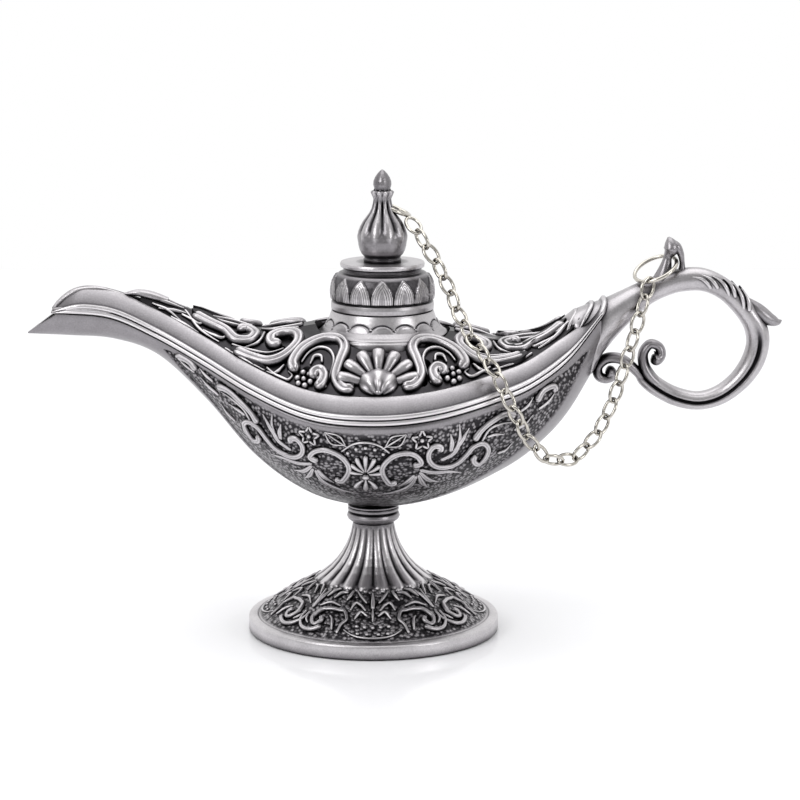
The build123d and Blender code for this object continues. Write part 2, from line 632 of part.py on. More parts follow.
def make_link():
    """Oval link lying in the XY plane, long along X."""
    bend = (LINK_WIDTH - WIRE) / 2
    straight = LINK_INNER_LENGTH + WIRE - 2 * bend
    section = RegularPolygon(WIRE / 2, WIRE_SIDES)
    end = revolve(Pos(0, bend, 0) * (Plane.YZ * section), Axis.Z, 180)
    rod = extrude(Plane.YZ * section, straight / 2, both=True)
    left_end = Pos(-straight / 2, 0, 0) * end
    right_end = Rot(0, 0, 180) * left_end
    return left_end + Pos(0, bend, 0) * rod + right_end + Pos(0, -bend, 0) * rod


def chain_pivots():
    """Points where link hangs in link, from the handle's ring to the lid's, one pitch apart.

    The route's slack is found by halving, so that the links just reach from ring to ring.
    """
    start = jump_ring_frame()[2]
    end = lid_ring_frame()[2]
    pitch = LINK_INNER_LENGTH - LINK_PLAY
    reach = (WIRE + RING_WIRE) / 2 + LINK_PLAY

    def walk(slack):
        points = [start + (end - start) * share + Vector(*offset) * slack for share, offset in ROUTE]
        route = Spline(*points)
        samples = [route @ (k / ROUTE_SAMPLES) for k in range(ROUTE_SAMPLES + 1)]
        pivots = [start]
        for point in samples:
            if (point - pivots[-1]).length >= pitch:
                pivots.append(pivots[-1] + (point - pivots[-1]).normalized() * pitch)
        ahead = (end - pivots[-1]).length - reach
        return pivots, (len(pivots) - 1 + ahead / pitch)

    low, high = SLACK_RANGE
    for _ in range(40):
        slack = (low + high) / 2
        pivots, links = walk(slack)
        low, high = (slack, high) if links < LINK_COUNT - 0.02 else (low, slack)
    return pivots[:LINK_COUNT + 1]


def make_chain():
    """Placed links, with the pivot and the hinge axis that each one swings on."""
    pivots = chain_pivots()
    axis = jump_ring_frame()[3]
    link = make_link()
    back = LINK_INNER_LENGTH / 2 - WIRE / 2 - LINK_PLAY
    links = []
    joints = []
    for k, (a, b) in enumerate(zip(pivots, pivots[1:])):
        direction = (b - a).normalized()
        joints.append((a, axis))
        twist = TWIST_AT_HANDLE + (TWIST_AT_LID - TWIST_AT_HANDLE) * k / LINK_COUNT
        level = direction.cross(Vector(0, 1, 0)).normalized()
        normal = level.rotate(Axis((0, 0, 0), direction), twist + 90 * (k % 2))
        links.append(Plane(a + direction * back, x_dir=direction, z_dir=normal) * link)
        axis = normal.cross(direction).normalized()
    return links, joints


parts = {
    "foot": make_foot(),
    "stem_ring": make_stem_ring(),
    "foot_screw": make_foot_screw(),
    "bowl": make_bowl(),
    "rim_frame": make_rim_frame(),
    "pierced_cover": make_pierced_cover(),
    "neck_collar": make_neck_collar(),
    "handle": make_handle(),
    "lid_cap": make_lid_cap(),
    "finial": make_finial(),
    "lid_ring": wire_ring(lid_ring_frame(), LID_RING_RADIUS),
    "handle_jump_ring": wire_ring(jump_ring_frame(), JUMP_RING_RADIUS),
}
links, joints = make_chain()
for number, link in enumerate(links, 1):
    parts[f"chain_link_{number:02d}"] = link

os.makedirs("parts", exist_ok=True)
for name, part in parts.items():
    export_step(part, f"parts/{name}.step")
for number, (pivot, axis) in enumerate(joints, 1):
    print("link", number, "pivot", *(round(v, 4) for v in pivot), "axis", *(round(v, 5) for v in axis))
print("hook of the lid ring", *(round(v, 4) for v in lid_ring_frame()[2]))
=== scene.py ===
"""Footed genie oil lamp in antique pewter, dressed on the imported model's frame.

Each casting is a numpy surface in millimetres, turned to metres when its mesh is made.
The ornament is laid on the castings as ridges that follow scroll lines.
"""
import json
from math import pi, radians
import bpy
import numpy as np
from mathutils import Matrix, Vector
from numpy import cos, sin


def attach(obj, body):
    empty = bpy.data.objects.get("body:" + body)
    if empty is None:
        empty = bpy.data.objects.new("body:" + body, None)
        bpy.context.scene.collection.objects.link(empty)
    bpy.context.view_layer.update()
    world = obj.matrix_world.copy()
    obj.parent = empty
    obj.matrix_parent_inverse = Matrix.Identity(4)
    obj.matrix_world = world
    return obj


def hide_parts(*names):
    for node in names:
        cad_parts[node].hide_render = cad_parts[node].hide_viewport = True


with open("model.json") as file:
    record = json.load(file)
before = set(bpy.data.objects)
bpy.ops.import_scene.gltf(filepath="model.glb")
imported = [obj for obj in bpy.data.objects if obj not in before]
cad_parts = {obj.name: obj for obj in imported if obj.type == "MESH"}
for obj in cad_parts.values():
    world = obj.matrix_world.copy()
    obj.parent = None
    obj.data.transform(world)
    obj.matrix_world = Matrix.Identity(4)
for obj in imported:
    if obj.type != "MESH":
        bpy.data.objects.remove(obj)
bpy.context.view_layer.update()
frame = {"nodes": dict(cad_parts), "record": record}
MM = 0.001
BODIES = frame["record"]["behaviour"]["bodies"]
BODY_OF = {node: body for body, nodes in BODIES.items() for node in nodes}

# Sizes shared with the solids, in millimetres
KEEL_Z = 24.0
HULL = np.array([
    (-64, 2.8, 36.3, 32.3), (-56, 4.3, 36.5, 32), (-48, 4.8, 35.7, 31.4), (-40, 6.2, 32.4, 28.6),
    (-31, 10.6, 28.1, 20.3), (-22, 16.6, 23.8, 9.9), (-12, 22, 20.4, 2.9), (0, 25, 19.6, 0.2),
    (11, 23.8, 20.4, 1.5), (21, 19.6, 22.4, 5.4), (29.5, 14.4, 24.9, 10.6), (36, 9.6, 29, 17.3),
    (42, 5.8, 36, 27.5),
])
CROWN = np.array([
    (-43, 40), (-33, 36.4), (-22, 33.3), (-12, 34.2), (2, 35), (15, 33.2), (24, 31.2), (31, 32), (38, 36.2),
])
NECK_X = 1.75
CAP_TOP_Z = 69.8
SEAM_GAP = 0.15


def eased(places, values):
    """Smooth curve through values: cubic pieces whose slopes are the mean of the neighbouring slopes."""
    places = np.asarray(places, float)
    values = np.asarray(values, float)
    slopes = np.gradient(values, places, axis=0)

    def read(x):
        x = np.asarray(x, float)
        i = np.clip(np.searchsorted(places, x) - 1, 0, len(places) - 2)
        h = places[i + 1] - places[i]
        t = (x - places[i]) / h
        if values.ndim > 1:
            h, t = h[..., None], t[..., None]
        a = values[i] * (1 + 2 * t) * (1 - t) ** 2 + slopes[i] * h * t * (1 - t) ** 2
        b = values[i + 1] * t ** 2 * (3 - 2 * t) + slopes[i + 1] * h * t ** 2 * (t - 1)
        return a + b

    return read


half_width, seam_height, keel_height = (eased(HULL[:, 0], HULL[:, k]) for k in (1, 2, 3))
crown_height = eased(*CROWN.T)


def step(low, high, x):
    """Smooth rise from 0 at low to 1 at high."""
    t = np.clip((x - low) / (high - low), 0, 1)
    return t * t * (3 - 2 * t)


# Meshes

def add_object(name, data):
    """New object, linked into the scene."""
    thing = bpy.data.objects.new(name, data)
    bpy.context.scene.collection.objects.link(thing)
    return thing


def grid_quads(rows, columns, closed_rows=False):
    """Corner numbers of the quads between rows of closed rings, whose points run row by row."""
    r = np.arange(rows if closed_rows else rows - 1)
    r, c = np.meshgrid(r, np.arange(columns), indexing="ij")
    r2, c2 = (r + 1) % rows, (c + 1) % columns
    quads = np.stack([r * columns + c, r * columns + c2, r2 * columns + c2, r2 * columns + c], axis=-1)
    return quads.reshape(-1, 4)


class Skin:
    """Points, quads, triangles and two point values gathered for one piece: ground is 1 where the casting
    is pebbled, crest is above 0 on rubbed tops, below 0 in hollows and 0 on plain faces."""

    def __init__(self):
        self.points, self.quads, self.triangles, self.grounds, self.crests = [], [], [], [], []
        self.count = 0

    def add(self, points, quads, triangles=None, ground=0.0, crest=0.0):
        points = points.reshape(-1, 3)
        self.points.append(points)
        self.quads.append(quads + self.count)
        if triangles is not None:
            self.triangles.append(triangles + self.count)
        for kept, value in ((self.grounds, ground), (self.crests, crest)):
            kept.append(np.broadcast_to(np.asarray(value, float).reshape(-1), (len(points),)))
        self.count += len(points)

    def sheet(self, rings, closed_rows=False, ground=0.0, crest=0.0, flip=False):
        """Rows of closed rings with open ends."""
        quads = grid_quads(*rings.shape[:2], closed_rows)
        self.add(rings, quads[:, ::-1] if flip else quads, ground=ground, crest=crest)

    def tube(self, rings, crest=0.0):
        """Rows of closed rings; each end is closed by a fan to the ring's middle. The faces are turned so
        that the volume they hold is positive."""
        rows, columns = rings.shape[:2]
        points = np.vstack([rings.reshape(-1, 3), rings[0].mean(axis=0), rings[-1].mean(axis=0)])
        quads = grid_quads(rows, columns)
        c = np.arange(columns)
        c2 = (c + 1) % columns
        first, last = rows * columns, rows * columns + 1
        base = (rows - 1) * columns
        triangles = np.vstack([np.stack([first + 0 * c, c2, c], axis=1),
                               np.stack([last + 0 * c, base + c, base + c2], axis=1)])
        crest = np.broadcast_to(np.asarray(crest, float), (rows, columns)).ravel()
        corners = points - points.mean(axis=0)
        halves = np.vstack([quads[:, [0, 1, 2]], quads[:, [0, 2, 3]], triangles])
        a, b, c = (corners[halves[:, k]] for k in range(3))
        if np.sum(a * np.cross(b, c)) < 0:
            quads, triangles = quads[:, ::-1], triangles[:, ::-1]
        self.add(points, quads, triangles, crest=np.concatenate([crest, crest[:1], crest[-1:]]))

    def piece(self, name, material, replaced=(), body="lamp"):
        """Mesh object of all that was gathered, riding on a body."""
        points = np.vstack(self.points) * MM
        quads = np.vstack(self.quads)
        triangles = np.vstack(self.triangles) if self.triangles else np.zeros((0, 3), int)
        mesh = bpy.data.meshes.new(name)
        mesh.vertices.add(len(points))
        mesh.vertices.foreach_set("co", points.astype(np.float32).ravel())
        loops = np.concatenate([quads.ravel(), triangles.ravel()])
        corners = np.repeat([4, 3], [len(quads), len(triangles)])
        starts = np.cumsum(corners) - corners
        mesh.loops.add(len(loops))
        mesh.loops.foreach_set("vertex_index", loops.astype(np.int32))
        mesh.polygons.add(len(starts))
        mesh.polygons.foreach_set("loop_start", starts.astype(np.int32))
        mesh.polygons.foreach_set("use_smooth", np.ones(len(starts), bool))
        for label, values in (("ground", self.grounds), ("crest", self.crests)):
            layer = mesh.attributes.new(label, "FLOAT", "POINT")
            layer.data.foreach_set("value", np.concatenate(values).astype(np.float32))
        mesh.update(calc_edges=True)
        mesh.validate()
        mesh.materials.append(material)
        thing = add_object(name, mesh)
        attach(thing, body)
        if replaced:
            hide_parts(*replaced)


def turned(profile, relief=None, *, columns, steps):
    """Rings about the foot's axis: radius and height read along a profile, the radius then raised by
    relief(angle, height). Gives the points and how much each was raised."""
    profile = np.asarray(profile, float)
    t = np.arange(len(profile))
    fine = np.linspace(0, len(profile) - 1, (len(profile) - 1) * steps + 1)
    r = np.interp(fine, t, profile[:, 0])
    z = np.interp(fine, t, profile[:, 1])
    angle, r = np.meshgrid(full_turn(columns), r)
    z = np.broadcast_to(z[:, None], r.shape)
    raised = 0 * r if relief is None else relief(angle, z)
    r = r + raised
    return np.stack([r * cos(angle), r * sin(angle), z], axis=-1), raised


def travelled(points):
    """Distance along a line to each of its points."""
    return np.concatenate([[0], np.cumsum(np.linalg.norm(np.diff(points, axis=0), axis=1))])


def through(points, count):
    """Smooth curve through a few points, with closer steps near both ends."""
    points = np.asarray(points, float)
    place = travelled(points)
    share = (1 - cos(np.linspace(0, pi, count))) / 2
    return eased(place, points)(share * place[-1])


def full_turn(count):
    """Equal angles once round."""
    return np.linspace(0, 2 * pi, count, endpoint=False)


def unit(vectors):
    """Vectors at length 1."""
    return vectors / np.maximum(np.linalg.norm(vectors, axis=-1, keepdims=True), 1e-9)


def rod(skin, line, radii, deep=1.0, across=(0, 1, 0), crest=0.0, count=64, sides=14):
    """Tapered rod along a smooth line through points in space. Its section is an ellipse, deep times as wide
    along the direction across as it is thick."""
    path = through(np.column_stack([line, radii]), count)
    place, r = path[:, :3], np.maximum(path[:, 3], 0.03)
    along = unit(np.gradient(place, axis=0))
    wide = np.asarray(across, float)
    wide = unit(wide - along * (along @ wide)[:, None])
    thick = np.cross(along, wide)
    a = full_turn(sides)
    rings = place[:, None] + thick[:, None] * (r[:, None] * cos(a))[..., None]
    skin.tube(rings + wide[:, None] * (deep * r[:, None] * sin(a))[..., None], crest)


def on_side(line, side):
    """Points in space, mirrored through the lamp's plane where side is -1."""
    return [(x, side * y, z) for x, y, z in line]


# Finishes

def linear(code):
    """Linear colour of an sRGB hex code."""
    parts = [int(code[i:i + 2], 16) / 255 for i in (1, 3, 5)]
    return [p / 12.92 if p <= 0.04045 else ((p + 0.055) / 1.055) ** 2.4 for p in parts] + [1.0]


def node(tree, kind, inputs=None, links=None, stops=(), **settings):
    """Adds a node, sets its settings, plain inputs and the (place, hex) stops of a ramp, and links other
    nodes' outputs to its inputs."""
    made = tree.nodes.new("ShaderNode" + kind)
    for key, value in settings.items():
        setattr(made, key, value)
    for key, value in (inputs or {}).items():
        made.inputs[key].default_value = value
    for key, output in (links or {}).items():
        tree.links.new(output, made.inputs[key])
    for _ in stops[2:]:
        made.color_ramp.elements.new(0.5)
    for k, (place, code) in enumerate(stops):
        made.color_ramp.elements[k].position = place
        made.color_ramp.elements[k].color = linear(code)
    return made


def blank_material(name):
    """New material and its empty node tree."""
    material = bpy.data.materials.new(name)
    material.use_nodes = True
    material.node_tree.nodes.clear()
    return material, material.node_tree


def multiply_add(tree, *terms):
    """Output of first times second plus third term, each a plain number or another node's output."""
    plain = {k: term for k, term in enumerate(terms) if isinstance(term, float)}
    linked = {k: term for k, term in enumerate(terms) if k not in plain}
    return node(tree, "Math", plain, linked, operation="MULTIPLY_ADD").outputs[0]


def noise(tree, place, size_mm, detail):
    """Value of a noise with features of about size_mm."""
    inputs = {"Scale": 1 / (size_mm * MM), "Detail": detail}
    return node(tree, "TexNoise", inputs, {"Vector": place}).outputs["Fac"]


def show(tree, inputs, links):
    """Shader with these inputs, joined to the material's output."""
    shader = node(tree, "BsdfPrincipled", inputs, links)
    node(tree, "OutputMaterial", links={"Surface": shader.outputs[0]})


def antique_pewter(name, dark="#19181a", mid="#969396", bright="#dedbdd", pebble_mm=0.0, brushed=False):
    """Zinc casting plated in antique pewter, blackened and rubbed back: the near-black in the hollows is
    patina and painted shade together, its colour read from ambient occlusion; the faces are a satin cool grey
    with a fine grain and rubbed crests are pale. Pebbles, where the ground value asks for them, are small
    bosses struck close together."""
    material, tree = blank_material(name)
    place = node(tree, "TexCoord").outputs["Object"]
    cloud = noise(tree, place, 5.0, 6.0)
    grain = noise(tree, place, 0.3, 3.0)
    # Painted shade and patina: ambient occlusion darkens the colour in the hollows
    occlusion_shade = node(tree, "AmbientOcclusion", {"Distance": 1.8 * MM}, samples=8).outputs["AO"]
    crest = node(tree, "Attribute", attribute_name="crest").outputs["Fac"]
    share = multiply_add(tree, cloud, 0.14, -0.04)
    for value, weight in ((grain, 0.14), (crest, 0.4), (occlusion_shade, 0.68)):
        share = multiply_add(tree, value, weight, share)
    height, depth_mm = grain, 0.012
    if pebble_mm:
        ground = node(tree, "Attribute", attribute_name="ground").outputs["Fac"]
        cells = node(tree, "TexVoronoi", {"Scale": 1 / (pebble_mm * MM), "Randomness": 0.85},
                     {"Vector": place}, feature="F1")
        boss = node(tree, "MapRange",
                    {"From Min": 0.22, "From Max": 0.7, "To Min": 1.0, "To Max": 0.0},
                    {"Value": cells.outputs["Distance"]}, interpolation_type="SMOOTHSTEP").outputs[0]
        struck = multiply_add(tree, boss, 0.4, -0.34)
        share = multiply_add(tree, struck, ground, share)
        lifted = multiply_add(tree, boss, ground, 0.0)
        height, depth_mm = multiply_add(tree, grain, 0.06, lifted), 0.16
    colour = node(tree, "ValToRGB", links={"Fac": share},
                  stops=[(0.3, dark), (0.5, "#454346"), (0.78, mid), (1.0, bright)])
    roughness = node(tree, "MapRange", {"To Min": 0.26, "To Max": 0.42}, {"Value": cloud})
    bump = node(tree, "Bump", {"Strength": 1.0, "Distance": depth_mm * MM}, {"Height": height})
    if brushed:
        stretched = node(tree, "Mapping", {"Scale": (1.0, 1.0, 12.0)}, {"Vector": place})
        scratch = noise(tree, stretched.outputs[0], 1.6, 5.0)
        bump = node(tree, "Bump", {"Strength": 1.0, "Distance": 0.02 * MM},
                    {"Height": scratch, "Normal": bump.outputs[0]})
    show(tree, {"Metallic": 1.0}, {"Base Color": colour.outputs["Color"], "Roughness": roughness.outputs[0],
                                   "Normal": bump.outputs[0]})
    return material


def plated_steel(name, dark, light, roughest):
    """Nickel-plated or bare steel: bright, slightly warm and cloudy, with painted shade where metal meets
    metal, the colour darkening where ambient occlusion is low.
    """
    material, tree = blank_material(name)
    place = node(tree, "TexCoord").outputs["Object"]
    # Painted shade: ambient occlusion darkens the colour where metal lies close to metal
    occlusion_shade = node(tree, "AmbientOcclusion", {"Distance": 0.6 * MM}, samples=8).outputs["AO"]
    colour = node(tree, "ValToRGB", links={"Fac": occlusion_shade}, stops=[(0.25, dark), (0.85, light)])
    roughness = node(tree, "MapRange", {"To Min": 0.12, "To Max": roughest},
                     {"Value": noise(tree, place, 2.5, 3.0)})
    show(tree, {"Metallic": 1.0}, {"Base Color": colour.outputs["Color"], "Roughness": roughness.outputs[0]})
    return material


PEWTER = antique_pewter("antique_pewter_casting")
PEBBLED = antique_pewter("antique_pewter_pebbled", pebble_mm=0.74)
FOOT_PEWTER = antique_pewter("antique_pewter_foot", pebble_mm=0.8, brushed=True)
DARK_PEWTER = antique_pewter("antique_pewter_blackened", dark="#0a090a", mid="#29282a", bright="#5c5a5c")
NICKEL = plated_steel("nickel_plated_wire", "#3a3733", "#c4c0b8", 0.26)
SCREW_STEEL = plated_steel("machined_steel_screw", "#2c2b2a", "#9b9894", 0.4)


# Bowl

LIP_START_X, LIP_END_X, LIP_DROP = -58.3, -64.0, 3.7
BOWL_ROWS, BOWL_COLUMNS = 420, 115
SPOUT_END_X, SPOUT_WALL, BOWL_WALL = -44, 1.0, 1.8
PANEL_DEPTH, PANEL_SOFT = 0.3, 0.015
# Lower edge of the sunk panel: place along the lamp, share of the quarter turn from seam to keel
PANEL_EDGE = np.array([
    (-38.2, 0.22), (-35.5, 0.42), (-30, 0.58), (-20, 0.72), (0, 0.84), (10, 0.74), (22, 0.62),
    (30, 0.5), (35, 0.4), (39.5, 0.2),
])
# Its upper edge: share at the two pointed ends, how far it rises from there, and over what length
PANEL_END, PANEL_RISE, PANEL_RUN = 0.2, 0.15, 6


def lip_cut(x):
    """How far the slanted cut of the spout's lip lies below the seam at x."""
    return np.clip((LIP_START_X - x) / (LIP_START_X - LIP_END_X), 0, 1) * LIP_DROP


def lip_angle(x):
    """Turn below the seam at which the cut meets the section."""
    return np.arcsin(np.clip(lip_cut(x) / (seam_height(x) - keel_height(x)), 0, 0.98))


def hull(x, turn, thinner=0.0):
    """Half ellipse across the boat at x: y = -width cos(turn), z falls from the seam by depth sin(turn). In
    plan the spout's lip is rounded off like a spoon."""
    lip = np.minimum(x - LIP_START_X, 0) / (LIP_END_X - LIP_START_X)
    spoon = np.sqrt(np.clip(1 - lip ** 2, 0.06, 1))
    half = np.maximum(half_width(x) * spoon - thinner, 0.1)
    depth = seam_height(x) - keel_height(x) - thinner
    z = KEEL_Z + seam_height(x) - depth * sin(turn)
    return np.stack([x + 0 * turn, -half * cos(turn), z], axis=-1)


def panel_share(x, turn):
    """1 inside the sunk panel on each side of the bowl, 0 on the plain border; soft over the edge."""
    share = np.minimum(turn, pi - turn) / (pi / 2)
    low = eased(*PANEL_EDGE.T)(x)
    start, end = PANEL_EDGE[0, 0], PANEL_EDGE[-1, 0]
    ends = np.clip(np.minimum(x - start, end - x) / PANEL_RUN, 0, 1)
    top = PANEL_END - PANEL_RISE * np.sqrt(ends)
    inside = np.minimum((share - top) / PANEL_SOFT, (low - share) / PANEL_SOFT)
    return step(-1, 1, inside) * (x > start) * (x < end)


def surface_normal(read, a, b, small=1e-3):
    """Unit normal of a surface read(a, b) from its two slopes."""
    along = (read(a + small, b) - read(a - small, b)) / (2 * small)
    across = (read(a, b + small) - read(a, b - small)) / (2 * small)
    return unit(np.cross(along, across))


def make_bowl():
    """Outer hull with sunk panels and a smooth inner hull, joined along the rim and closed at both ends."""
    x = np.linspace(HULL[0, 0], HULL[-1, 0], BOWL_ROWS)[:, None]
    start = lip_angle(x)
    turn = start + (pi - 2 * start) * np.linspace(0, 1, BOWL_COLUMNS)[None, :]
    x = np.broadcast_to(x, turn.shape)
    sunk = panel_share(x, turn)
    out = -surface_normal(hull, x, turn)
    outer = hull(x, turn) - out * (PANEL_DEPTH * sunk)[..., None]
    wall = np.where(x < SPOUT_END_X, SPOUT_WALL, BOWL_WALL)
    inner = hull(x, turn, wall)[:, ::-1]
    inner[..., 2] = np.minimum(inner[..., 2], KEEL_Z + seam_height(x) - lip_cut(x) - 0.02)
    ring = np.concatenate([outer, inner], axis=1)
    ground = np.concatenate([sunk, 0 * sunk], axis=1)
    skin = Skin()
    rows, columns = ring.shape[:2]
    quads = grid_quads(rows, columns)
    j = np.arange(BOWL_COLUMNS - 1)
    first = np.stack([j, j + 1, columns - 2 - j, columns - 1 - j], axis=1)
    last = (first + (rows - 1) * columns)[:, ::-1]
    skin.add(ring, np.vstack([quads, first, last]), ground=ground, crest=-0.12)
    skin.piece("bowl_casting", PEBBLED, ["bowl"])


# Rim frame

NOSE_X, NOSE_LENGTH = -59.3, 6.5
RIM_ROWS, BEAD_STEPS, FLANGE_STEPS = 420, 9, 13
# Height of the two beads, rise of the flange above them and its width
RIDGE, RISE, FLANGE = 2.1, 2.6, 4.0
# Inset and foot of each bead, how far it swells outwards and half its height; then the groove above them
BEADS, BEAD_SWELL, BEAD_HALF = ((0.14, 0.02), (0.2, 1.0)), 0.33, 0.46
GROOVE = ((0.62, 1.98), (0.72, 2.06))
FLANGE_FOOT, FLANGE_STEP, FLANGE_SWELL = 0.8, 0.05, 0.34
# Raised border on one side of the spout's nose, and its radii
NOSE_BORDER = [
    (-47, 4.6, 60.8), (-53.5, 4.2, 61.4), (-57.6, 3.3, 61.2), (-58.8, 2.2, 61.1), (-57.6, 1.3, 62.5),
    (-55, 0.8, 64.2), (-51.5, 0.5, 64.7), (-46.5, 0.4, 63.9),
]
NOSE_RADII = [0.1, 0.5, 0.55, 0.55, 0.6, 0.6, 0.5, 0.1]
# Half of each lip that arches over the root of the handle, and its radius
TAIL_LIPS = [
    ([(41, 5.9, 59.2), (42.2, 4.7, 61.1), (42.7, 2.9, 62.3), (42.7, 1, 62.8)], 0.5),
    ([(37.9, 5, 57.6), (39.3, 4, 60.1), (40.3, 2.3, 61.6), (40.5, 0.8, 62)], 0.45),
    ([(35.4, 4.9, 56.4), (36.5, 3.4, 58.9), (37.4, 1.8, 60.2), (37.6, 0.6, 60.6)], 0.4),
]


def inner_edge(x):
    """Half width between the flange's inner edges; they meet over the spout and at the tail."""
    return np.maximum(half_width(x) - FLANGE, 0.5) * step(-46, -43.4, x) * step(40.5, 37.4, x)


def rim_ring(x):
    """Closed section of the rim's half at x: two rounded beads, a groove, the gently domed flange, its edge
    and the inside wall, as (out from the lamp's plane, height, crest). It dips over the nose and the tail."""
    nose = np.clip((x - NOSE_X) / NOSE_LENGTH, 0, 1)
    share = (0.12 + 0.88 * sin(nose * pi / 2)) * (1 - 0.5 * step(33, 42, x))
    half = half_width(x)
    inner = inner_edge(x)
    base = seam_height(x) + SEAM_GAP
    points = []
    for inset, foot in BEADS:
        for a in np.linspace(0, pi, BEAD_STEPS):
            inward, up = inset - BEAD_SWELL * sin(a), foot + BEAD_HALF * (1 - cos(a))
            points.append((half - inward, base + up * share, sin(a) - 0.25))
    for inward, up in GROOVE:
        points.append((half - inward, base + up * share, -0.6))
    for k in np.linspace(0, 1, FLANGE_STEPS):
        y = half - FLANGE_FOOT + (inner - half + FLANGE_FOOT) * k
        lift = RIDGE + FLANGE_STEP + (RISE - FLANGE_STEP) * k + FLANGE_SWELL * sin(pi * k)
        points.append((y, base + lift * share, 0.62 * k - 0.37))
    edge, top = inner - 0.05, RIDGE + RISE
    return points + [
        (edge, base + (top - 0.5) * share, 0.2), (edge, base + (top - 1.4) * share, -0.4),
        (half - 1.5, base + np.maximum(0.2, 0.5 * share), -0.4), (half - 1.4, base, -0.4),
    ]


def make_rim_frame():
    """The section above carried along the boat on both sides, with raised borders round the nose of the
    spout and lips that arch over the root of the handle."""
    x = np.linspace(NOSE_X, HULL[-1, 0], RIM_ROWS)
    out, height, crest = np.array([[np.broadcast_to(v, x.shape) for v in point]
                                   for point in rim_ring(x)]).transpose(1, 2, 0)
    x = np.broadcast_to(x[:, None], crest.shape)
    skin = Skin()
    for side in (-1, 1):
        skin.tube(np.stack([x, side * out, KEEL_Z + height], axis=-1), crest)
        rod(skin, on_side(NOSE_BORDER, side), NOSE_RADII, crest=0.3)
    for arch, radius in TAIL_LIPS:
        whole = arch + on_side(reversed(arch), -1)
        rod(skin, whole, [0.2] + [radius] * 6 + [0.2], across=(1, 0, 0), crest=0.35)
    skin.piece("rim_frame_casting", PEWTER, ["rim_frame"])


# Neck collar, lid and finial

SCALLOP_COUNT, SCALLOP_Z, SCALLOP_RISE, SCALLOP_PROUD = 15, 57.7, 1.5, 0.24
PETAL_COUNT, PETAL_Z, PETAL_TALL = 14, 62.8, 4.7
RIB_COUNT = 10


def turned_piece(name, rings, material, replaced, body="lamp", **values):
    """Piece of one turned outline that runs back to its start."""
    skin = Skin()
    skin.sheet(rings, flip=True, **values)
    skin.piece(name, material, [replaced], body)


def on_neck(points):
    """Points about the foot's axis, moved to the neck's."""
    return points + np.array([NECK_X, 0, 0])


def from_front(angle, count):
    """Place across the nearest of a count of equal leaves, -1 to 1, with one leaf at the front."""
    return (np.mod((angle + pi / 2) * count / (2 * pi) + 0.5, 1.0) - 0.5) * 2


def scallops(angle, z):
    """Row of round-topped lobes that stand proud below the collar's plain cone, under a cut line."""
    across = from_front(angle, SCALLOP_COUNT)
    edge = SCALLOP_Z + SCALLOP_RISE * np.sqrt(np.clip(1 - across ** 2, 0, 1))
    line = np.exp(-((z - edge - 0.1) / 0.14) ** 2) * step(57.4, 57.8, z)
    return SCALLOP_PROUD * step(edge + 0.1, edge - 0.1, z) * step(56.5, 56.9, z) - 0.2 * line


def make_neck_collar():
    """Turned collar: a spreading foot, a waist and a scalloped apron below the lid's seat."""
    outline = [
        (7.6, 53.8), (12.4, 53.8), (12.4, 56.2), (12, 56.7), (11.2, 57.2), (10.5, 57.9), (10.1, 58.7),
        (9.85, 59.6), (9.55, 60.5), (9.4, 60.85), (7.6, 60.85), (7.6, 53.8),
    ]
    rings, raised = turned(outline, scallops, columns=288, steps=8)
    crest = 0.34 + np.where(raised < 0, 6.0, -0.7) * raised
    turned_piece("neck_collar_casting", on_neck(rings), PEWTER, "neck_collar", crest=crest)


def petals(angle, z):
    """Pointed leaves of nested arches round the cap, 0.14 to 0.34 mm proud."""
    across = np.abs(from_front(angle, PETAL_COUNT))
    up = (z - PETAL_Z) / PETAL_TALL
    arch = 0.97 * np.clip(1 - np.clip(up, 0, 1) ** 2.8, 0, 1)
    depth = arch - across
    lines = 0.5 + 0.5 * cos(2 * pi * (depth - 0.05) / 0.2)
    rim = step(0.0, 0.06, depth)
    return rim * (up > 0) * (up < 1) * step(0, 0.05, up) * (0.14 + 0.2 * lines * step(0.95, 0.6, depth))


def make_lid_cap():
    """Turned cap with its plug: plain ring, a band of leaves, a waist and the flat top disc."""
    top = CAP_TOP_Z
    outline = [
        (5.85, 56.95), (7.35, 56.95), (7.35, 60.95), (9.3, 60.95), (9.5, 61.1), (9.55, 61.9), (9.45, 62.5),
        (9.15, 62.75), (9.3, 63.1), (9.42, 64), (9.4, 65), (9.2, 66.2), (8.75, 67.2), (8.1, 67.75),
        (7.45, 68), (7.2, 68.3), (7.3, 68.7), (7.75, 68.95), (7.85, 69.4), (7.7, 69.75), (7.2, top),
        (1.25, top), (1.25, 68.4), (5.85, 66.6), (5.85, 56.95),
    ]
    rings, raised = turned(outline, petals, columns=384, steps=6)
    z = rings[..., 2]
    band = step(62.6, 62.9, z) * step(67.7, 67.2, z)
    crest = band * (4.4 * raised - 0.6) + 0.25 * (z < 62.5) + 0.3 * (z > 68.8)
    turned_piece("lid_cap_casting", on_neck(rings), PEWTER, "lid_cap", "lid", crest=crest)


def ribs(angle, z):
    """Leaf ribs: rounded ridges from the neck to below the bulb's widest, ending in points, then as many
    upstanding leaf tips at the collar and four shallow furrows on the bud."""
    across = np.abs(np.mod(angle * RIB_COUNT / (2 * pi) + 0.5, 1.0) - 0.5) * 2
    tip = step(73.2 + 1.6 * across, 74.6 + 1.6 * across, z)
    bulb = tip * step(81.9, 80.2, z)
    leaf = 0.55 * (1 - across ** 2) - 0.36
    tips = step(81.2, 82.4, z) * step(83.4 - 0.8 * across, 83.0 - 0.8 * across, z)
    furrow = step(83.2, 84.0, z) * step(87.0, 85.5, z) * cos(4 * angle)
    return bulb * leaf + tips * (0.34 * (1 - across ** 2) - 0.1) + 0.06 * furrow


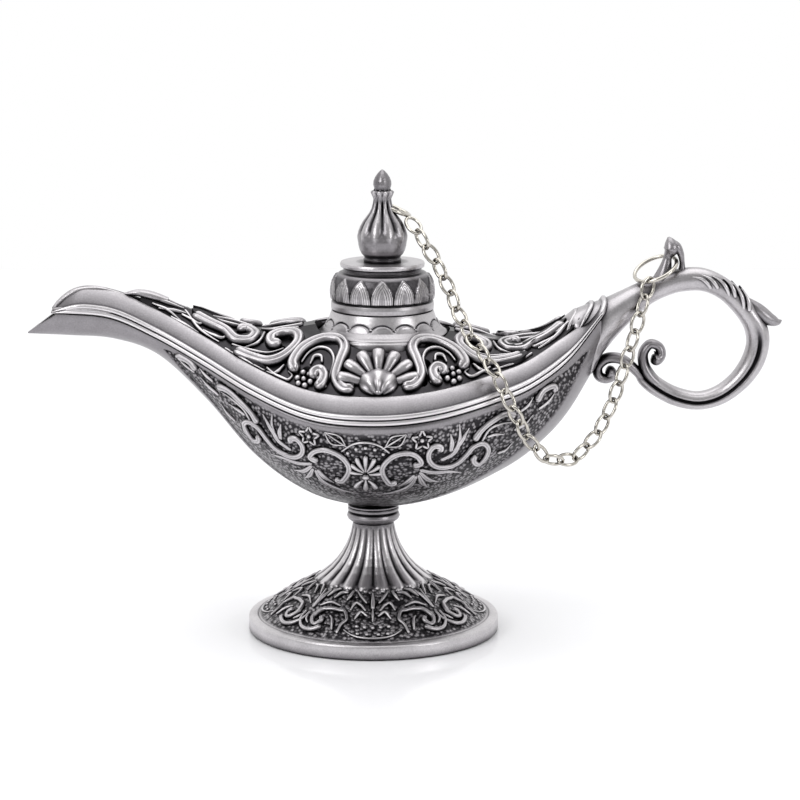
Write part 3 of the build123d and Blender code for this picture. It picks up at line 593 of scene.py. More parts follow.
def make_finial():
    """Turned finial: foot, bulb, neck, leaf collar and pointed bud, drawn from the cap's top upwards."""
    outline = [
        (0.01, -1.3), (1.15, -1.3), (1.15, 0.02), (3.45, 0.02), (3.5, 0.5), (3.3, 0.75), (3.4, 1),
        (3.85, 1.5), (4.2, 2.2), (4.42, 3), (4.5, 3.9), (4.45, 4.8), (4.25, 5.7), (3.9, 6.6), (3.4, 7.5),
        (2.8, 8.3), (2.2, 9.1), (1.8, 9.9), (1.6, 10.8), (1.6, 11.6), (1.75, 12.3), (1.95, 12.9),
        (1.7, 13.15), (1.35, 13.1), (1.45, 13.5), (1.62, 14.2), (1.58, 14.9), (1.3, 15.6), (0.85, 16.3),
        (0.4, 16.8), (0.12, 17), (0.01, 17.05),
    ]
    rings, raised = turned([(r, CAP_TOP_Z + z) for r, z in outline], ribs, columns=240, steps=5)
    skin = Skin()
    skin.tube(on_neck(rings), 1.9 * raised - 0.12)
    skin.piece("finial_casting", PEWTER, ["finial"], "lid")


# Foot and bead

FLUTE_COUNT, FLUTE_FOOT_Z = 20, 9.5
RIM_TOP_Z = 2.95


def flutes(angle, z):
    """Rounded ribs down the flare, with sharp valleys, that fade into round ends above the skirt."""
    wave = np.abs(sin(angle * (FLUTE_COUNT / 2)))
    lobe_end = FLUTE_FOOT_Z + 0.9 * (1 - wave)
    fade = step(lobe_end - 0.15, lobe_end + 0.35, z) * step(20.3, 19.4, z)
    size = 0.24 + 0.46 * step(19.5, 10.5, z)
    return fade * size * (wave ** 0.7 - 0.6)


def make_foot():
    """Turned hollow foot: plain brushed rim, low domed skirt with a pebbled ground, and fluted flare."""
    outline = [
        (1.5, 16), (2.75, 16), (2.75, 10.3), (9.7, 7.5), (20, 1.4), (20, 0), (23.3, 0),
        (23.5, 0.25), (23.5, 2.5), (23.3, 2.75), (22.9, 2.85), (21.9, RIM_TOP_Z), (21.7, 2.8),
        (21.5, RIM_TOP_Z), (20.2, 3.9), (18.4, 5.1), (16.5, 6.3), (14.5, 7.5), (12.8, 8.45), (11.4, 9.3),
        (10.3, 10.1), (9, 11.1), (7.8, 12.1), (6.7, 13.3), (5.8, 14.6), (5.05, 16), (4.5, 17.4),
        (4.15, 18.6), (3.95, 19.6), (3.85, 20.55), (1.5, 20.55), (1.5, 16),
    ]
    rings, raised = turned(outline, flutes, columns=384, steps=6)
    x, y, z = np.moveaxis(rings, -1, 0)
    ground = step(RIM_TOP_Z, 3.3, z) * step(10.4, 9.8, z) * (np.hypot(x, y) > 9)
    crest = 3.2 * raised + 0.4 * (z < RIM_TOP_Z + 0.01)
    turned_piece("foot_casting", rings, FOOT_PEWTER, "foot", ground=ground, crest=crest)


def make_stem_ring():
    """Turned bead with two narrow bands above it."""
    outline = [
        (1.5, 20.6), (3.8, 20.6), (4.25, 20.8), (4.75, 21.2), (4.98, 21.75), (4.8, 22.3), (4.4, 22.55),
        (4.35, 22.7), (4.75, 22.8), (4.8, 23.1), (4.7, 23.35), (4.5, 23.42), (4.75, 23.52), (4.8, 23.8),
        (4.6, 23.98), (1.5, 23.98), (1.5, 20.6),
    ]
    rings, _ = turned(outline, columns=128, steps=4)
    turned_piece("stem_ring_casting", rings, PEWTER, "stem_ring")


# Chain

LINK_COUNT, LINK_WIRE, RING_WIRE = 30, 0.62, 0.76
LOOP_STEPS, WIRE_SIDES = 56, 14


def wire_loop(node_name, piece_name, wire):
    """Round wire bent to an oval: an ellipse whose middle, directions and reach are the main axes and reach
    of the solid that it stands for."""
    source = frame["nodes"][node_name].data
    points = np.empty(len(source.vertices) * 3)
    source.vertices.foreach_get("co", points)
    points = np.unique(points.reshape(-1, 3).round(8), axis=0) / MM
    middle = points.mean(axis=0)
    axes = np.linalg.svd(points - middle, full_matrices=False)[2]
    reach = (points - middle) @ axes.T
    middle = middle + ((reach.max(axis=0) + reach.min(axis=0)) / 2) @ axes
    length, width, _ = reach.max(axis=0) - reach.min(axis=0)
    long, wide = (length - wire) / 2, (width - wire) / 2
    turn = full_turn(LOOP_STEPS)
    u, v = long * cos(turn), wide * sin(turn)
    way = unit(np.stack([wide * cos(turn), long * sin(turn)], axis=-1))
    around = full_turn(WIRE_SIDES)
    out = (wire / 2) * cos(around)
    up = (wire / 2) * sin(around)
    rings = (middle + (u[:, None] + way[:, :1] * out)[..., None] * axes[0]
             + (v[:, None] + way[:, 1:] * out)[..., None] * axes[1] + up[:, None] * axes[2])
    left_handed = np.dot(np.cross(axes[0], axes[1]), axes[2]) <= 0
    skin = Skin()
    skin.sheet(rings, closed_rows=True, flip=left_handed)
    skin.piece(piece_name, NICKEL, [node_name], BODY_OF[node_name])


# Ornament

RIDGE_STEPS, RIDGE_SUNK, PEARL = 9, 0.3, 0.42


def ridge(skin, lay, line, width, height, ends=(0.35, 0.35), furrow=0.0, count=44):
    """Half-round strap laid along a line drawn on a surface, in count steps. lay(a, b) gives the places and
    normals of drawn points. The width narrows or swells to the given shares at the two ends, which are
    rounded; a furrow may run along the top."""
    place, out = lay(*through(line, count).T)
    along = unit(np.gradient(place, axis=0))
    side = unit(np.cross(out, along))
    gone = travelled(place)
    left = gone[-1] - gone
    wide = np.full(count, width / 2)
    for share, far in zip(ends, (gone, left)):
        reach = 1.1 * width if share > 1 else 0.45 * gone[-1]
        wide = wide * (1 + (share - 1) * np.exp(-(far / reach) ** 2))
    for far, end in ((gone, wide[0]), (left, wide[-1])):
        wide = wide * np.sqrt(np.clip(1 - (1 - np.minimum(far / end, 1)) ** 2, 0.02, 1))
    tall = height * np.minimum(2 * wide / width, 1.2)
    across = np.linspace(-1, 1, RIDGE_STEPS)
    crown = np.sqrt(np.clip(1 - across ** 2, 0, 1)) - furrow * np.exp(-(across / 0.25) ** 2)
    sideways = np.concatenate([across, [0.9, -0.9]])
    upward = np.column_stack([tall[:, None] * crown, np.full((count, 2), -RIDGE_SUNK)])
    rings = (place[:, None] + side[:, None] * (wide[:, None] * sideways)[..., None]
             + out[:, None] * upward[..., None])
    skin.tube(rings, np.concatenate([0.95 * crown - 0.45, [-0.5, -0.5]]))


def bead(skin, lay, spot, radius, tall=0.9):
    """Small domed boss, tall times as high as its radius."""
    (place,), (out,) = lay(*np.array([spot], float).T)
    side = unit(np.cross(out, np.array([1.0, 0.3, 0.2])))
    other = np.cross(out, side)
    rise = np.array([-0.3, 0.25, 0.8, 1.2])[:, None]
    turn = full_turn(10)[None, :]
    flat = radius * cos(np.maximum(rise, 0))
    high = radius * tall * np.where(rise < 0, -0.3, sin(rise))
    rings = (place + (flat * cos(turn))[..., None] * side + (flat * sin(turn))[..., None] * other
             + high[..., None] * out)
    skin.tube(rings, np.array([[-0.5], [-0.2], [0.3], [0.5]]))


def mirrored(lines):
    """The same lines on both sides of the drawing's middle."""
    return lines + [[(-a, b) for a, b in line] for line in lines]


def strokes(skin, lay, kinds):
    """Ridges along the lines of each kind: (lines, width, height, ends) and, if need be, furrow and count."""
    for lines, *settings in kinds:
        for line in lines:
            ridge(skin, lay, line, *settings)


# Scrolls on the bowl, drawn in side view: millimetres from the motif's middle, and height above the table.
MOTIF_X = -1.2
BOWL_SCROLLS = [
    [(8.5, 36), (10, 36.5), (9.5, 37.6), (8, 38.5), (6, 38.4), (4, 37.2), (3, 35.5), (3.4, 33.5), (4.5, 32.2),
     (5.6, 32.6)],
    [(13.2, 38.4), (13.5, 39.4), (12.5, 39.7), (11.5, 38.7), (11.4, 37), (12.5, 35.6), (14.5, 35.1),
     (16.5, 35.7), (18.4, 37.5), (19.6, 38.9), (21.4, 39.2), (22.2, 38), (21.6, 35.8), (20.4, 34.8),
     (19.5, 35.8), (19.7, 37)],
    [(19.5, 40), (21, 42), (23, 43.5), (25.5, 44.5), (27.2, 44)],
    [(31, 46), (32.5, 48), (34.4, 48.4), (34.6, 47.2)],
]
BOWL_STEMS = [
    [(21, 39.5), (22.5, 42), (25, 42.7), (26.6, 42.6)], [(22, 40.4), (23.5, 40.7), (25.2, 40.4)],
    [(24, 36.5), (25.5, 37), (26.8, 38.2)], [(28, 44.5), (29.5, 45.5), (30.6, 47)],
    [(27, 41), (29, 41.8), (30.5, 43.4)], [(31.5, 44.4), (33.4, 45.6), (35, 47.6)],
]
BOWL_LEAVES = [
    [(13.5, 36.6), (16, 38), (17, 40.5), (17, 43.6)], [(15.8, 38), (17.5, 40.5), (18.8, 42.6)],
    [(15.4, 38.2), (15.6, 40), (15.4, 41.8)], [(9.8, 34.9), (12, 34.2), (15, 34), (17.5, 33.2)],
    [(9.8, 34.4), (11.3, 32.6), (13.4, 31.6)], [(9.6, 33.8), (10.2, 32), (11.2, 30.6)],
    [(9.2, 33.6), (8, 31.4), (5.2, 29.9), (1.8, 29.2)], [(8.8, 33.8), (7.6, 32.4), (5.8, 31.2)],
]
LEAF_EDGES = [
    [(3.6, 39.9), (4.6, 41.6), (7.4, 42.2)], [(3.6, 39.9), (6.2, 40.1), (7.4, 42.2)],
    [(3, 39.4), (5.3, 40.9), (7.2, 42.1)],
]
FAN_RIBS = [
    [(0.3, 34.4), (1.6, 35.2), (2.7, 36.2)], [(0.2, 34.6), (1.1, 36.2), (1.7, 37.6)],
    [(0.5, 34.1), (2, 34.3), (3.1, 34.6)], [(0.4, 32.8), (1.3, 32), (1.9, 30.9)],
]
FAN_SPINE = [[(0, 34.6), (0, 36.4), (0, 38.1)], [(0, 32.9), (0, 32), (0, 30.6)]]
FAN_ARCH = [(-4.4, 38.6), (-2.3, 40.2), (0, 40.7), (2.3, 40.2), (4.4, 38.6)]
FAN_PEARLS = [(-3.2, 38.4), (-1.7, 39.3), (0, 39.6), (1.7, 39.3), (3.2, 38.4)]
FAN_BOSS_Z = 33.6
BOWL_STROKES = [
    (mirrored(BOWL_SCROLLS), 1.25, 0.6, (1.4, 1.4), 0.3, 64),
    (mirrored(BOWL_STEMS), 1.0, 0.5, (0.6, 0.25)),
    (mirrored(BOWL_LEAVES), 1.75, 0.6, (0.5, 0.15), 0.3, 44),
    (mirrored(LEAF_EDGES), 0.55, 0.4, (0.6, 0.6)),
    (mirrored(FAN_RIBS) + FAN_SPINE, 1.15, 0.55, (0.4, 1.0)),
    ([FAN_ARCH], 0.7, 0.45, (0.6, 0.6)),
]
STAR_AT, STAR_REACH = (10.2, 40.9), 2.0


def on_bowl(side):
    """Places drawn points on one side of the bowl. A height is read as a share of the hull's depth on the
    handle's side, so that the spout's side gets the same pattern on its own depth."""
    def lay(a, height):
        drawn = MOTIF_X + np.abs(a)
        share = (KEEL_Z + seam_height(drawn) - height) / (seam_height(drawn) - keel_height(drawn))
        turn = np.arcsin(np.clip(share, 0.02, 0.97))
        turn = turn if side < 0 else pi - turn
        x = MOTIF_X + a
        out = -surface_normal(hull, x, turn)
        return hull(x, turn) - PANEL_DEPTH * out, out
    return lay


def make_bowl_scrolls():
    """Raised scrolls, stems, leaves, stars and the fan in the middle, on both sides of the bowl."""
    skin = Skin()
    for side in (-1, 1):
        lay = on_bowl(side)
        strokes(skin, lay, BOWL_STROKES)
        for spot in FAN_PEARLS:
            bead(skin, lay, spot, PEARL)
        bead(skin, lay, (0, FAN_BOSS_Z), 0.75)
        for way in (-1, 1):
            corner = pi / 2 + np.arange(11) * pi / 5
            reach = STAR_REACH * np.where(np.arange(11) % 2, 0.5, 1.0)
            x, z = way * STAR_AT[0], STAR_AT[1]
            points = [(x + r * cos(c), z + r * sin(c)) for r, c in zip(reach, corner)]
            for first, last in zip(points, points[1:]):
                ridge(skin, lay, [first, last], 0.6, 0.4, (0.9, 0.9), 0.0, 10)
            bead(skin, lay, (x, z), 0.5)
    skin.piece("bowl_scrollwork", PEWTER)


# Straps of the pierced cover, drawn in plan: millimetres from the shell's middle and from the lamp's plane.
SHELL_X = 1.1
COVER_BANDS = [
    [(4.2, 19), (6.2, 18.6), (7.6, 16.6), (6.9, 14), (6.1, 11.5), (7, 9.5), (9.5, 8.6), (12.4, 9.4),
     (14.5, 11), (15.5, 13), (14.8, 14.4)],
    [(11.2, 16.2), (11.6, 15.2), (10.6, 14.8), (9.8, 15.8), (10.4, 17.2), (11.6, 17.4)],
    [(26.5, 9), (23, 10.6), (19.5, 11.6), (16.5, 10.8), (14.6, 8.6), (15, 6.2), (17.4, 5), (19.6, 6),
     (19.4, 8), (17.6, 8.2)],
    [(34.5, 2.2), (31.5, 3.4), (28.5, 4.6), (26, 6.8), (23.6, 6.6), (22.8, 4.6), (24.4, 3), (26.2, 3.8)],
]
COVER_LINES = [
    [(9.6, 17.8), (8.5, 15.5), (8, 13.5), (8.8, 11.6), (10.6, 10.6), (12.6, 11.2), (14, 12.8)],
    [(10.2, 13.6), (10.4, 12.4), (11.6, 12.2), (12.4, 13.4)], [(27, 7.6), (23.5, 9), (20, 9.9), (17.2, 9.4)],
    [(28.2, 8.4), (25, 11.2), (20.6, 13.4)], [(21, 3.8), (22, 7.2), (24.8, 8.4)],
    [(17, 12.6), (18.4, 13.8), (20.4, 14.4)], [(36, 1.4), (33, 4.8), (29.2, 7.2)],
    [(14, 1.4), (16.5, 2.6), (19.5, 2.6), (21.8, 1.4)], [(23.5, 0.8), (26, 1.8), (29, 1.6), (31, 0.6)],
    [(14.6, 3.8), (17, 3.6), (20, 4.4)], [(36.5, 2.4), (34.6, 3.2), (33, 3.9), (32.2, 3.2), (33, 2.6)],
    [(32.5, 4.9), (30.4, 5.9), (28.6, 6.4), (27.8, 5.6), (28.6, 5)],
    [(27, 8.2), (24.6, 9.8), (22.6, 10.4), (21.8, 9.5), (22.8, 8.9)],
    [(20.4, 12.6), (18.6, 14.4), (16.6, 15.6), (15.6, 14.8), (16.4, 13.8)],
]
FRONT_LINES = [
    [(-42.8, 0.3), (-39.5, 0.8), (-36, 1)], [(-42, 1.1), (-39, 1.9), (-36.4, 3.4)],
    [(-40.8, 1.6), (-37.6, 2), (-35, 2.2)], [(-38.4, 2.6), (-36, 4.4), (-33, 5.6)],
]
COVER_STROKES = [
    (mirrored(COVER_BANDS), 2.3, 1.35, (1.1, 1.1), 0.4, 72),
    (mirrored(COVER_LINES) + FRONT_LINES, 1.2, 1.0, (0.5, 0.35)),
]
# Tongue over the cover's front end, in space, and its radii
TONGUE = [(-46, 0.3, 63.7), (-43.5, 0.5, 63.9), (-41.5, 0.6, 63.5), (-38, 0.6, 62.5)]
TONGUE_RADII = [0.2, 0.6, 0.75, 0.5]
FLOWER_AT, FLOWER_PETALS, FLOWER_RING = (13.4, 16.0), 6, 1.25
# The palmette: its lean, root and lobes, and the dome before them
SHELL_LEAN, SHELL_Y, SHELL_Z = 42, 18.6, 49.5
LOBES, LOBE_SPREAD = 7, 76
LOBE_PLACES, LOBE_RADII = (1.5, 4.0, 6.2, 7.4, 7.8), [0.5, 0.95, 1.28, 1.05, 0.3]
DOME_WIDE, DOME_TALL, DOME_HIGH, DOME_FURROWS = 3.7, 3.0, 2.3, 14


def cover_half(x):
    """Half width of the cover at its eaves."""
    return np.maximum(half_width(x) - FLANGE, 0.5) - 0.45


def cover_sheet(x, across):
    """Saddle of the cover at x: from the crown down to the eaves, across as a share of its half width."""
    eaves = seam_height(x) + 4.5
    fall = eased([0, 0.12, 0.55, 1.0], [1, 1, 0.72, 0])(np.abs(across))
    z = KEEL_Z + eaves + (crown_height(x) - eaves) * fall
    return np.stack([x, across * cover_half(x), z], axis=-1)


def on_cover(side):
    """Places plan points on one side of the cover."""
    def lay(a, outward):
        x = np.clip(SHELL_X + a, -42, 37)
        across = side * np.clip(outward / cover_half(x), 0.03, 0.97)
        out = surface_normal(cover_sheet, x, across)
        return cover_sheet(x, across), out * np.sign(out[..., 2:])
    return lay


def make_shell(skin, side):
    """Palmette that leans back over the cover: swelling lobes, and before them half an ellipsoid whose
    furrows spread from its lower edge."""
    lean = radians(SHELL_LEAN)
    up = np.array([0, -side * sin(lean), cos(lean)])
    out = np.array([0, side * cos(lean), sin(lean)])
    right = np.array([1.0, 0, 0])
    root = np.array([SHELL_X, side * SHELL_Y, SHELL_Z]) + 0.5 * up
    for turn in np.radians(np.linspace(-LOBE_SPREAD, LOBE_SPREAD, LOBES)):
        way = right * sin(turn) + up * cos(turn)
        rod(skin, [root + way * r for r in LOBE_PLACES], LOBE_RADII, across=out, crest=0.3, count=40)
    r, turn = np.meshgrid(sin(np.linspace(0.05, pi / 2, 16)), full_turn(120), indexing="ij")
    x, y = r * sin(turn), r * cos(turn)
    furrow = 0.13 * cos(DOME_FURROWS * np.arctan2(x, y + 1.15)) * step(1.0, 0.9, r)
    high = DOME_HIGH * np.sqrt(np.clip(1 - r ** 2, 0, 1)) + furrow
    dome = (root + 0.3 * up + (DOME_WIDE * x)[..., None] * right + (DOME_TALL * y)[..., None] * up
            + high[..., None] * out)
    skin.tube(dome, 0.1 + 3.0 * furrow)


def make_cover_straps():
    """Scroll straps, shells and flowers over the pierced saddle, on both sides."""
    skin = Skin()
    for side in (-1, 1):
        lay = on_cover(side)
        strokes(skin, lay, COVER_STROKES)
        rod(skin, on_side(TONGUE, side), TONGUE_RADII, crest=0.2)
        make_shell(skin, side)
        bead(skin, lay, (0, 19.9), 0.85, 1.3)
        for way in (-1, 1):
            x, y = way * FLOWER_AT[0], FLOWER_AT[1]
            for k in range(FLOWER_PETALS):
                c = k * pi / 3 + 0.4
                bead(skin, lay, (x + FLOWER_RING * cos(c), y + FLOWER_RING * sin(c)), 0.7, 1.5)
            bead(skin, lay, (x, y), 0.6, 2.3)
            bead(skin, lay, (way * 10.7, 16.2), 0.6, 1.6)
    skin.piece("cover_scrollwork", PEWTER)


# Relief on the skirt of the foot, drawn as degrees from the motif's middle and millimetres from the axis.
FOOT_SCROLLS = [
    [(19.1, 20.2), (18.5, 18.6), (16.1, 17.2), (17.9, 16), (23.3, 15.5), (31, 15.5), (36.6, 16.3),
     (38.3, 17.5), (36.2, 18.7), (32.8, 18.9), (31.2, 18.1), (33.2, 17.3)],
    [(46.8, 16.6), (46.2, 18), (43.2, 19.3), (37.8, 20.2), (33.2, 20), (29, 19.2)],
]
FOOT_LEAVES = [
    [(15.6, 15.3), (14.4, 14.1), (9.2, 14), (4.7, 15.3)], [(11.4, 17.1), (8.9, 15.7), (3.2, 16.4)],
    [(44.8, 15.8), (44.4, 13.6), (41.3, 11.4)], [(40.6, 15.1), (33.7, 14.1), (23.9, 14.5)],
    [(33.3, 13), (30.6, 12), (22.6, 11.4)], [(14.7, 10.9), (8.9, 12.4), (4.5, 13.6)],
    [(41, 12.9), (36.7, 11.4), (31.9, 10.8)], [(21.5, 13.2), (19.6, 12), (18.4, 10.9)],
    [(43.4, 17.2), (41.8, 18.2), (38.8, 19)], [(28, 16.7), (24.6, 17.8), (22.6, 19.6)],
]
FOOT_BUD = [(0, 11.2), (0, 13), (0, 15)]
FOOT_STALK = [(0, 14.6), (0, 16.2), (0, 17.6)]
FOOT_ARCH = [(-16.2, 19.3), (-10.7, 20.3), (0, 20.9), (10.7, 20.3), (16.2, 19.3)]
FOOT_PEARLS = [(-9, 18.6), (-4.5, 18.7), (0, 18.8), (4.5, 18.7), (9, 18.6), (-8, 20), (-3, 20.1), (3, 20.1),
               (8, 20)]
FOOT_STROKES = [
    (mirrored(FOOT_SCROLLS), 1.0, 0.7, (0.6, 1.2), 0.2, 64),
    (mirrored(FOOT_LEAVES), 1.05, 0.65, (0.4, 0.5), 0.0, 32),
    ([FOOT_BUD], 1.1, 0.7, (0.4, 0.8), 0.0, 24),
    ([FOOT_STALK], 0.9, 0.7, (0.35, 0.35), 0.0, 24),
    ([FOOT_ARCH], 0.9, 0.6, (0.35, 0.35), 0.0, 48),
]
# Radius and height along the skirt, from its rim up
SKIRT = np.array([(21.5, RIM_TOP_Z), (18.4, 5.1), (14.5, 7.5), (11.4, 9.3), (9.0, 11.1)])


def on_foot(quarter):
    """Places polar points of one quarter on the skirt."""
    def skirt(turn, r):
        z = np.interp(-r, -SKIRT[:, 0], SKIRT[:, 1])
        return np.stack([r * cos(turn), r * sin(turn), z + 0 * turn], axis=-1)

    def lay(degrees, r):
        turn = np.radians(degrees) - pi / 2 + quarter * pi / 2
        out = surface_normal(skirt, turn, r)
        return skirt(turn, r), out * np.sign(out[..., 2:])
    return lay


def make_foot_relief():
    """Leaves and scrolls round a bud over an arch of pearls, once on each quarter of the foot's skirt."""
    skin = Skin()
    for quarter in range(4):
        lay = on_foot(quarter)
        strokes(skin, lay, FOOT_STROKES)
        for spot in FOOT_PEARLS:
            bead(skin, lay, spot, PEARL)
    skin.piece("foot_relief", PEWTER)


# Handle, drawn in side view: outer edge (x, z), inner edge (x, z) and half depth, from a tongue over the
# cover's end and the root of the stalk round the ring to the big volute
HANDLE = np.array([
    (33.6, 57.7, 34, 56.6, 0.6), (36.7, 60.3, 37.2, 55.2, 4.4), (39.6, 61.7, 40, 48.6, 5.6),
    (42.4, 62.6, 42.7, 52.8, 5.3), (45.6, 64.1, 46.9, 57.8, 4), (49.2, 65.8, 51.4, 61.8, 2.9),
    (53.2, 67.4, 55.3, 63.7, 2.5), (57.2, 68.5, 58.2, 64.3, 2.4),
    (61.2, 68.5, 61.2, 64.2, 2.4), (65.2, 66.8, 64.2, 62.8, 2.4), (68.9, 63.7, 66.8, 60.3, 2.4),
    (71.6, 60.4, 68.5, 57.9, 2.4), (73.3, 57.2, 69.2, 55.9, 2.4), (73.5, 53.6, 69.2, 53.8, 2.4),
    (72.2, 49.6, 68.2, 51, 2.4), (69.3, 45.9, 66.3, 48.3, 2.35), (65.2, 43, 63.6, 46.2, 2.3),
    (60.6, 41.9, 60.5, 45.3, 2.3), (56.2, 42.6, 57, 46, 2.2), (52.3, 44.5, 53.9, 47.6, 2.1),
    (49.5, 46.8, 51.6, 49.6, 1.7), (48.6, 49, 50.8, 50.9, 0.7),
])
HANDLE_ROWS, HANDLE_SIDES = 300, 56
GROOVE_START, GROOVE_RUN, GROOVE_DEPTH = 11.0, 2.0, 0.75
# Rods in side view, with their radii and how deep they are for their thickness: the big and the small volute,
# the two sides of the front leaf round its eye, and the rear leaf's spur
HANDLE_RODS = [
    ([(56, 44.9), (53.2, 46.7), (51.4, 48.4), (50.3, 50.6), (50.3, 52.9), (51.6, 54.3), (53.2, 53.6),
      (53.4, 52.2), (52.5, 51.6), (51.8, 51.9)],
     [0.5, 1, 1.15, 1.05, 0.95, 0.9, 0.9, 1.05, 1.35, 0.5], 1.8),
    ([(50.6, 47.2), (47.9, 50.2), (45.6, 51.6), (43.1, 51.4), (41.75, 49.8), (42.1, 48.2), (43.4, 47.75),
      (44.5, 48.4), (43.9, 49.1), (43.3, 49.3)],
     [0.7, 1, 1, 1, 0.95, 0.95, 0.9, 1, 1.2, 0.5], 1.8),
    ([(53.6, 66.2), (54.2, 69.2), (54.5, 70.7), (55.1, 72.2), (54.8, 73.5), (54.5, 74.3)],
     [2, 1.05, 0.8, 1.45, 0.95, 0.2], 1.15),
    ([(57, 67), (57.1, 69.6), (56.8, 71.2), (56, 72.6), (55, 73.8)], [1, 0.5, 0.65, 0.85, 0.3], 1.4),
    ([(68.6, 63.2), (71.4, 60.6), (73.6, 58.9), (75.2, 58.5), (75.8, 58.75)], [0.3, 1.3, 1.2, 0.6, 0.1], 1.4),
]
RING_AT, RING_RADIUS, BAND_HALF, BAND_DEEP = (60.4, 55.3), 11.1, 2.0, 2.4
RING_LEAVES = [
    [(98, 0.9), (88, 0.3), (78, -1.2)], [(90, 1.2), (80, 0.4), (71, -0.9)],
    [(80, 1.1), (68, 0.3), (57, -1.2)], [(70, 1.2), (61, 0.6), (51, -0.8)],
    [(60, 1.1), (48, 0.2), (35, -1.2)], [(52, 1.2), (43, 0.7), (31, -0.5)],
]


def on_ring(side):
    """Places points on the ring's face: degrees round it and millimetres out from its band's middle."""
    def band(turn, offset):
        r = RING_RADIUS + offset
        deep = BAND_DEEP * np.sqrt(np.clip(1 - (offset / BAND_HALF) ** 2, 0.02, 1))
        return np.stack([RING_AT[0] + r * cos(turn), side * deep, RING_AT[1] + r * sin(turn)], axis=-1)

    def lay(degrees, offset):
        turn = np.radians(degrees)
        out = surface_normal(band, turn, offset)
        return band(turn, offset), out * side * np.sign(out[..., 1:2])
    return lay


def make_handle():
    """Stalk and ring: an ellipse between the two drawn edges, with a groove along both faces of the lower
    ring. Rods make the volutes, the front leaf and the spur; leaf strokes lie over the top."""
    skin = Skin()
    place = np.linspace(0, len(HANDLE) - 1, HANDLE_ROWS)
    drawn = eased(np.arange(len(HANDLE)), HANDLE)(place)
    a = full_turn(HANDLE_SIDES)
    middle, half = (drawn[:, :2] + drawn[:, 2:4]) / 2, (drawn[:, :2] - drawn[:, 2:4]) / 2
    begun = step(GROOVE_START, GROOVE_START + GROOVE_RUN, place)[:, None]
    grooved = begun * np.exp(-((cos(a) - 0.08) / 0.16) ** 2)
    flat = middle[:, None] + half[:, None] * cos(a)[:, None]
    deep = np.sign(sin(a)) * (drawn[:, 4:] * np.abs(sin(a)) ** 0.85 - GROOVE_DEPTH * grooved)
    skin.tube(np.stack([flat[..., 0], deep, flat[..., 1]], axis=-1), 0.22 - 1.2 * grooved)
    for line, radii, deep in HANDLE_RODS:
        rod(skin, [(x, 0, z) for x, z in line], radii, deep, count=90, sides=18)
    for side in (-1, 1):
        strokes(skin, on_ring(side), [(RING_LEAVES, 1.0, 0.42, (0.3, 0.9), 0.0, 40)])
    skin.piece("handle_casting", PEWTER, ["handle"])


make_bowl()
make_rim_frame()
make_neck_collar()
make_lid_cap()
make_finial()
make_foot()
make_stem_ring()
make_bowl_scrolls()
make_cover_straps()
make_foot_relief()
make_handle()
for number in range(1, LINK_COUNT + 1):
    wire_loop(f"chain_link_{number:02d}", f"link_wire_{number:02d}", LINK_WIRE)
wire_loop("handle_jump_ring", "handle_ring_wire", RING_WIRE)
wire_loop("lid_ring", "lid_ring_wire", RING_WIRE)

for name, material in (("pierced_cover", DARK_PEWTER), ("foot_screw", SCREW_STEEL)):
    slots = frame["nodes"][name].data.materials
    slots.clear()
    slots.append(material)


# Floor, light and camera

ROOM, PLAIN_LIGHT = 0.45, 0.78
FLOOR_HALF, FLOOR_DROP = 0.45, 0.0001
LENS_MM, SENSOR_MM, CAMERA_DIP = 132.82, 36, 11.1398
CAMERA_AT = (0.004998, -0.540, 0.150)


def make_floor():
    """White acrylic sheet with a faint gloss that fills the picture and takes the lamp's shade."""
    mesh = bpy.data.meshes.new("studio_floor")
    h = FLOOR_HALF
    mesh.from_pydata([(-h, -h, 0), (h, -h, 0), (h, h, 0), (-h, h, 0)], [], [(0, 1, 2, 3)])
    material, tree = blank_material("white_acrylic_floor")
    show(tree, {"Base Color": linear("#f8f8fa"), "Roughness": 0.12, "Specular IOR Level": 0.25}, {})
    mesh.materials.append(material)
    floor = add_object("studio_floor", mesh)
    floor.location = (0, 0, -FLOOR_DROP)


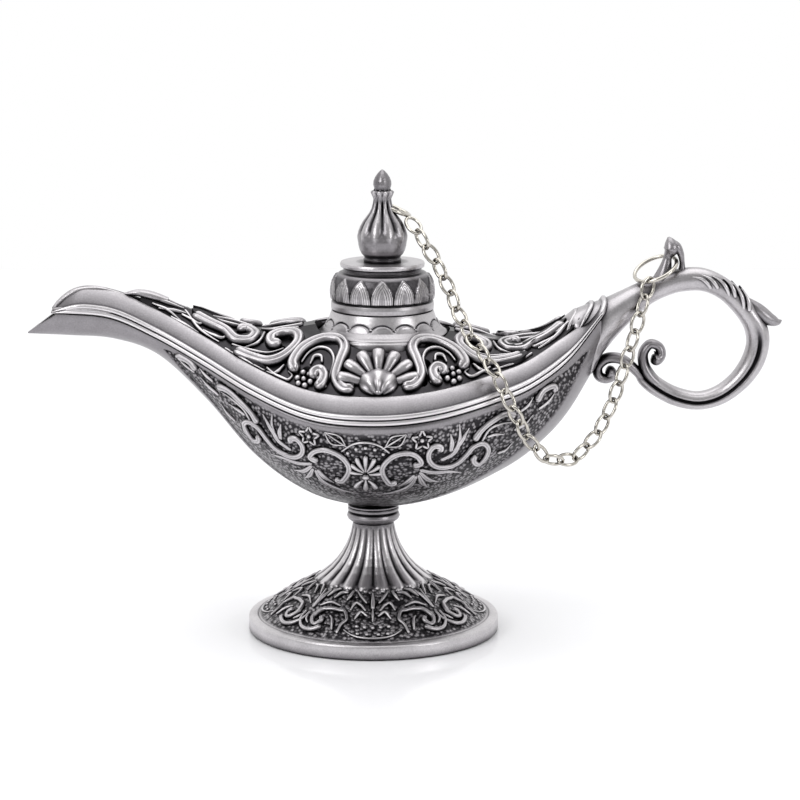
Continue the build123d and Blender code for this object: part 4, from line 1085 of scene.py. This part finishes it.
def make_world():
    """White sweep for the camera; mirror and glass rays see it dim towards the room in front, and the rest
    get a plain light."""
    world = bpy.data.worlds.new("studio")
    bpy.context.scene.world = world
    world.use_nodes = True
    tree = world.node_tree
    tree.nodes.clear()
    path = node(tree, "LightPath")
    way = node(tree, "TexCoord").outputs["Generated"]
    depth = node(tree, "SeparateXYZ", links={"Vector": way}).outputs["Y"]
    sweep = node(tree, "MapRange",
                 {"From Min": -0.5, "From Max": 0.3, "To Min": ROOM, "To Max": 1.0}, {"Value": depth})
    mirror, glass, camera = (path.outputs[f"Is {ray} Ray"] for ray in ("Glossy", "Transmission", "Camera"))
    seen = node(tree, "Math", links={0: mirror, 1: glass}, operation="MAXIMUM")
    plain = node(tree, "Mix", {"A": PLAIN_LIGHT},
                 {"Factor": seen.outputs[0], "B": sweep.outputs[0]}).outputs["Result"]
    strength = node(tree, "Math", links={0: plain, 1: camera}, operation="MAXIMUM").outputs[0]
    shade = node(tree, "Background", {"Color": linear("#ffffff")}, {"Strength": strength})
    node(tree, "OutputWorld", links={"Surface": shade.outputs[0]})


def soft_light(name, place, target, size, watts):
    """Square soft box that looks at a point."""
    light = bpy.data.lights.new(name, "AREA")
    light.size = size
    light.energy = watts
    thing = add_object(name, light)
    thing.location = place
    direction = np.array(target) - np.array(place)
    thing.rotation_euler = Vector(direction).to_track_quat("-Z", "Y").to_euler()


def make_camera():
    """Camera of the photograph: a long lens on a square sensor, dipped a little below the horizon."""
    camera = bpy.data.cameras.new("camera")
    camera.lens = LENS_MM
    camera.sensor_width = SENSOR_MM
    camera.clip_start = 0.01
    thing = add_object("camera", camera)
    thing.location = CAMERA_AT
    thing.rotation_euler = (radians(90 - CAMERA_DIP), 0, 0)
    bpy.context.scene.camera = thing


make_floor()
make_world()
soft_light("key_softbox", (-0.45, -0.45, 0.45), (0, 0, 0.04), 0.34, 1.6)
soft_light("fill_softbox", (0.55, -0.4, 0.3), (0, 0, 0.04), 0.25, 0.9)
soft_light("top_softbox", (0.0, 0.1, 0.7), (0, 0.05, 0.0), 0.8, 2.6)
make_camera()
bpy.context.scene.view_settings.view_transform = "Standard"
